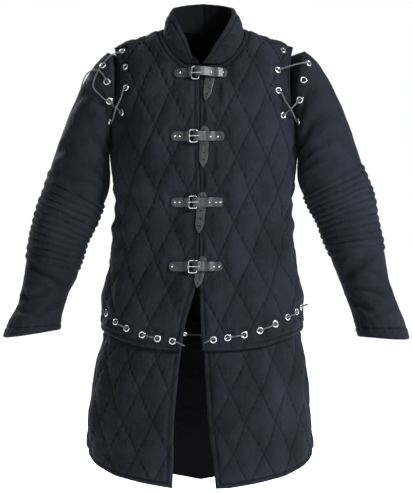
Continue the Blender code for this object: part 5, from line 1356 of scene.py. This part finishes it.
def under_holes(spots, back):
    """Holes of the skirt that lie straight under the jacket's holes."""
    centre, normal = hole_frames(body, spots)
    at = centre - normal * 0.0095
    way, level = pattern_spot(SKIRT_FORM, at[:, 0], at[:, 2], back)
    if back:
        way = np.where(way < 0, way + 2 * HALF_ROUND, way)
    return round_holes(round_place(SKIRT_FORM), list(zip(way, level)))


def strap_flats():
    """Pattern places that the straps and their tails press flat."""
    out = []
    for row in STRAPS:
        s0 = float(pattern_spot(JACKET_FORM, row[2] - 0.003, row[1])[0])
        s1 = float(pattern_spot(JACKET_FORM, row[5] + 0.003, row[1])[0])
        out.append(((s0 + s1) / 2, row[1], (s1 - s0) / 2, 0.0125))
        tail = (row[6] + row[8]) / 2, (row[7] + row[9]) / 2
        out.append((*tail, 0.018, (row[7] - row[9]) / 2 + 0.002))
    return out


def make_cloth(look, jacket_look, skirt_look):
    """The nine cloth pieces, each in place of its plain solid."""
    straps = strap_flats()
    for side, tag, spots, rows, area in (
            (-1, "right", waist_right + arm_right, CREASES_FRONT_RIGHT, 0.151),
            (1, "left", waist_left + arm_left, CREASES_FRONT_LEFT, 0.162)):
        flats = straps + [(s, h, PRESSED, 0.0) for s, h in spots]
        piece = make_panel("front_" + tag, front_borders(side), JACKET_FORM, JACKET_WALL,
                           JACKET_PUFF, JACKET_DIAMOND, round_holes(body, spots), flats, rows,
                           (100, 228), jacket_look)
        dress(piece, "quilted_canvas", "body_front_" + tag)
    spots = waist_back + arm_back
    piece = make_panel("back", back_borders(), JACKET_FORM, JACKET_WALL, JACKET_PUFF,
                       JACKET_DIAMOND, round_holes(body, spots),
                       [(s, h, PRESSED, 0.0) for s, h in spots], CREASES_BACK, (184, 208),
                       jacket_look)
    dress(piece, "quilted_canvas", "body_back")
    for which, tag, spots, rows, cells, cut, area in (
            (-1, "front_right", waist_right, CREASES_SKIRT_RIGHT, (90, 120), (0.262, 0.378), 0.083),
            (1, "front_left", waist_left, CREASES_SKIRT_LEFT, (90, 120), (0.302, 0.379), 0.0945),
            (0, "back", waist_back, CREASES_SKIRT_BACK, (190, 120), (0.614, 0.393), 0.206)):
        piece = make_panel("lower_" + tag, skirt_borders(which), SKIRT_FORM, SKIRT_WALL,
                           SKIRT_PUFF, SKIRT_DIAMOND, under_holes(spots, which == 0), [], rows,
                           cells, skirt_look)
        dress(piece, "quilted_canvas", "skirt_" + tag)
    piece = dress(make_collar(look), "quilted_canvas", "collar")
    for tag, table, rows, area in (("right", SLEEVE_RIGHT, CREASES_SLEEVE_RIGHT, 0.216),
                                   ("left", SLEEVE_LEFT, CREASES_SLEEVE_LEFT, 0.223)):
        piece = make_sleeve("arm_" + tag, table, rows, look)
        dress(piece, "quilted_canvas", "sleeve_" + tag)


def sleeve_frames(table, ways):
    """Centres and outward directions of a sleeve's holes, on its outer face."""
    place = sleeve_place(table)
    s, h = np.asarray(ways, float), np.full(len(ways), SLEEVE_LONG - SLEEVE_HOLE_ROW)
    at, out = place(s, h), outward(place, s, h)
    around = place(np.linspace(0, SLEEVE_ROUND, 40), SLEEVE_LONG - SLEEVE_HOLE_ROW).mean(axis=0)
    out = out * np.sign((out * (at - around)).sum(axis=-1, keepdims=True))
    return at + out * 0.0008, out


def make_fastenings(leather, metal, cord):
    """Straps with buckles, eyelets and laces, each in place of its plain solids."""
    plans = (([-0.0471], [(0.0164, 0.0), (0.0410, 0.0015)], (0.40, 0.62, 0.80)),
             ([-0.0577, -0.0481], [(0.0150, -0.001), (0.0300, -0.001)], (0.45, 0.65, 0.82)),
             ([-0.0577, -0.0479], [(0.0130, 0.0), (0.0266, 0.0), (0.0352, 0.0)], (0.45, 0.65, 0.82)),
             ([-0.0635], [(0.0217, 0.0), (0.0328, 0.0)], (0.52, 0.68, 0.84)))
    for row, (tabs, straps, punched) in zip(STRAPS, plans):
        make_closure(row, tabs, straps, punched, leather, metal)

    ways = sleeve_hole_ways()
    rows = {"waist_right": hole_frames(body, waist_right),
            "waist_left": hole_frames(body, waist_left),
            "shoulder_right": hole_frames(body, arm_right),
            "shoulder_left": hole_frames(body, arm_left),
            "sleeve_right": sleeve_frames(SLEEVE_RIGHT, ways[:4]),
            "sleeve_left": sleeve_frames(SLEEVE_LEFT, ways[:4])}
    firsts = {"waist_right": (2, 7), "waist_left": (1, 7)}
    for tag, (centres, normals) in rows.items():
        low, high = firsts.get(tag, (1, 5))
        make_rings("rings_" + tag, centres, normals, metal,
                   *["eyelet_" + tag + "_" + str(k) for k in range(low, high)])
    make_rings("rings_waist_back", *hole_frames(body, waist_back), metal)
    make_rings("rings_shoulder_back", *hole_frames(body, arm_back), metal)
    make_rings("rings_sleeve_right_back", *sleeve_frames(SLEEVE_RIGHT, ways[4:]), metal)
    make_rings("rings_sleeve_left_back", *sleeve_frames(SLEEVE_LEFT, ways[4:]), metal)

    def pairs(tag):
        return list(zip(*rows[tag]))

    right, left = pairs("waist_right"), pairs("waist_left")
    start = right[0][0] + right[0][1] * 0.006 + np.array([-0.004, 0.0, 0.010])
    edge = np.array([CLOSURE_X - 0.030, -0.1350, -0.6560])
    run = threaded(right, True, WAIST_UNDER, 0.0035)
    make_lace("cord_waist_right", [start] + run + [edge], cord, "lace_waist_right")
    edge = np.array([CLOSURE_X + 0.0095, -0.1350, -0.6510])
    tip = left[-1][0] + left[-1][1] * 0.012 + np.array([0.004, 0.0, 0.006])
    run = threaded(left, True, WAIST_UNDER, 0.0035)
    make_lace("cord_waist_left", [edge] + run + [tip], cord, "lace_waist_left")
    behind = list(zip(*hole_frames(body, waist_back)))
    run = threaded(behind, False, WAIST_UNDER, 0.0085, rest=ON_CLOTH)
    make_lace("cord_waist_back", run, cord, "lace_waist_back")
    for tag, side in (("right", -1), ("left", 1)):
        coat, arm = pairs("shoulder_" + tag), pairs("sleeve_" + tag)
        first = threaded([coat[0] if side < 0 else coat[1], arm[0]], False, SHOULDER_UNDER, 0.004)
        second = threaded([arm[2], coat[3]], False, SHOULDER_UNDER, 0.0022)
        over = threaded([coat[2], arm[3]], False, SHOULDER_UNDER, 0.0, True, 0.0052)
        for number, run in (("_1", first + second), ("_2", over)):
            make_lace("cord_shoulder_" + tag + number, run, cord, "lace_shoulder_" + tag + number)


def on_sleeve(table, x, z, lift):
    """Points over a sleeve's front at these x and z: the nearest of a fine grid's points,
    raised off the cloth."""
    place = sleeve_place(table)
    s, h = np.meshgrid(np.linspace(0.04, 0.20, 240), np.linspace(0.46, SLEEVE_LONG, 240),
                       indexing="ij")
    at, out = place(s, h).reshape(-1, 3), outward(place, s, h).reshape(-1, 3)
    out = out * np.sign(-out[:, 1:2])
    near = [int(np.argmin(np.hypot(at[:, 0] - a, at[:, 2] - b))) for a, b in zip(x, z)]
    return at[near] + out[near] * lift


def make_hanging_run(look):
    """The run of the right shoulder's lace that sags over the sleeve from its top hole and
    goes in at the armhole."""
    centre, normal = (column[0] for column in sleeve_frames(SLEEVE_RIGHT, sleeve_hole_ways()[:4]))
    x = [-0.2210, -0.2262, -0.2215, -0.2120, -0.2035]
    z = [-0.1030, -0.1210, -0.1330, -0.1425, -0.1510]
    lying = on_sleeve(SLEEVE_RIGHT, x, z, 0.0044)
    aside = lying[0] - centre
    aside = unit_rows(aside - normal * (aside @ normal))
    shift = aside * 0.0022
    start = [centre + shift + normal * step for step in (-0.0075, -0.002, 0.0028)]
    start.append(centre + aside * LACE_REST + normal * (ON_EYELET + 0.0004))
    inside = [lying[-1] + np.array(step)
              for step in ((0.0085, -0.0010, -0.0050), (0.0125, 0.0110, -0.0070))]
    make_lace("cord_shoulder_right_3", start + list(lying) + inside, look)


def make_free_end(look):
    """The one free cord: the end of the right shoulder's lace, which comes out of a sleeve
    hole, lies over the sleeve and hangs behind it."""
    centre, normal = (column[1] for column in sleeve_frames(SLEEVE_RIGHT, sleeve_hole_ways()[:4]))
    place = sleeve_place(SLEEVE_RIGHT)
    turn = np.array([118.0, 135.0, 152.0, 170.0, 188.0, 206.0, 220.0]) / 360.0 * SLEEVE_ROUND
    h = np.array([0.585, 0.572, 0.556, 0.540, 0.524, 0.508, 0.493])
    at, out = place(turn, h), outward(place, turn, h)
    away = at - np.array([-0.24, 0.0, 0.0])
    away[:, 2] = 0.0
    out = out * np.where((out * away).sum(axis=-1, keepdims=True) > 0, 1.0, -1.0)
    lying = at + out * 0.0045
    aside = lying[0] - centre
    aside = unit_rows(aside - normal * (aside @ normal))
    bend = np.linspace(0, math.pi / 2, 7)[:, None]
    rise = centre - normal * np.array([[0.0075], [0.005], [0.0025]])
    over = centre + aside * 0.0062 * (1 - np.cos(bend)) + normal * (0.0062 * np.sin(bend))
    line = smooth_path(np.concatenate([rise, over, lying]), 0.0008)
    for _ in range(60):
        line[1:-1] = (line[:-2] + 2 * line[1:-1] + line[2:]) / 4
    walked = walked_along(line)
    even = np.linspace(0, walked[-1], 72)
    line = np.stack([np.interp(even, walked, column) for column in line.T], axis=-1)
    made, faces, uv = tube(line, LACE_RADIUS, 10)
    piece = add_mesh("lace_free_end", made, faces, look, uv=uv, period=(1, math.tau * LACE_RADIUS))
    dress(piece, "lace_cord", "lace_end_right")
    long = float(walked_along(line)[-1])


def make_stage(look):
    """A wide white floor below the hem, which the coat hangs clear of."""
    size, low = FLOOR_HALF, FLOOR_LOW
    corners = np.array([(-size, -size, low), (size, -size, low),
                        (size, size, low), (-size, size, low)])
    floor = add_mesh("floor", corners, [np.array([[0, 1, 2, 3]])], look, smooth=False)


def make_lights():
    """A white room that lights the coat weakly, with a soft light from the picture's upper
    right and weaker ones from the left, from behind and from above."""
    world = bpy.data.worlds.new("white_room")
    world.use_nodes = True
    tree = world.node_tree
    shown = tree.nodes["Background"]
    shown.inputs["Color"].default_value = (1.0, 1.0, 1.0, 1.0)
    dim = node(tree, "ShaderNodeBackground", Color=(0.93, 0.96, 1.0, 1.0), Strength=0.11)
    seen = node(tree, "ShaderNodeLightPath")
    mixed = node(tree, "ShaderNodeMixShader", [(seen.outputs["Is Camera Ray"], 0),
                                               (dim.outputs[0], 1), (shown.outputs[0], 2)])
    tree.links.new(mixed.outputs[0], tree.nodes["World Output"].inputs["Surface"])
    bpy.context.scene.world = world
    for name, at, power, size in LIGHTS:
        data = bpy.data.lights.new(name, "AREA")
        data.energy, data.size = power, size
        data.color = (0.90, 0.94, 1.0)
        lamp = bpy.data.objects.new(name, data)
        lamp.location = at
        aim = np.array(LIT_POINT) - np.array(at)
        flat = math.hypot(aim[0], aim[1])
        lamp.rotation_euler = (math.atan2(flat, -aim[2]), 0.0, math.atan2(-aim[0], aim[1]))
        bpy.context.scene.collection.objects.link(lamp)


make_camera()
cord = cord_look()
make_free_end(cord)
canvas = canvas_look("black_cotton_canvas", "#0b0b10", "#1b1c24")
jacket_canvas = canvas_look("black_canvas_quilted_wide", "#0b0b10", "#1b1c24", JACKET_DIAMOND)
skirt_canvas = canvas_look("black_canvas_quilted_narrow", "#0b0b10", "#1b1c24", SKIRT_DIAMOND)
make_cloth(canvas, jacket_canvas, skirt_canvas)
make_fastenings(leather_look(), nickel_look(), cord)
make_hanging_run(cord)
make_stage(backdrop_look())
make_lights()
bpy.context.scene.view_settings.view_transform = "Standard"
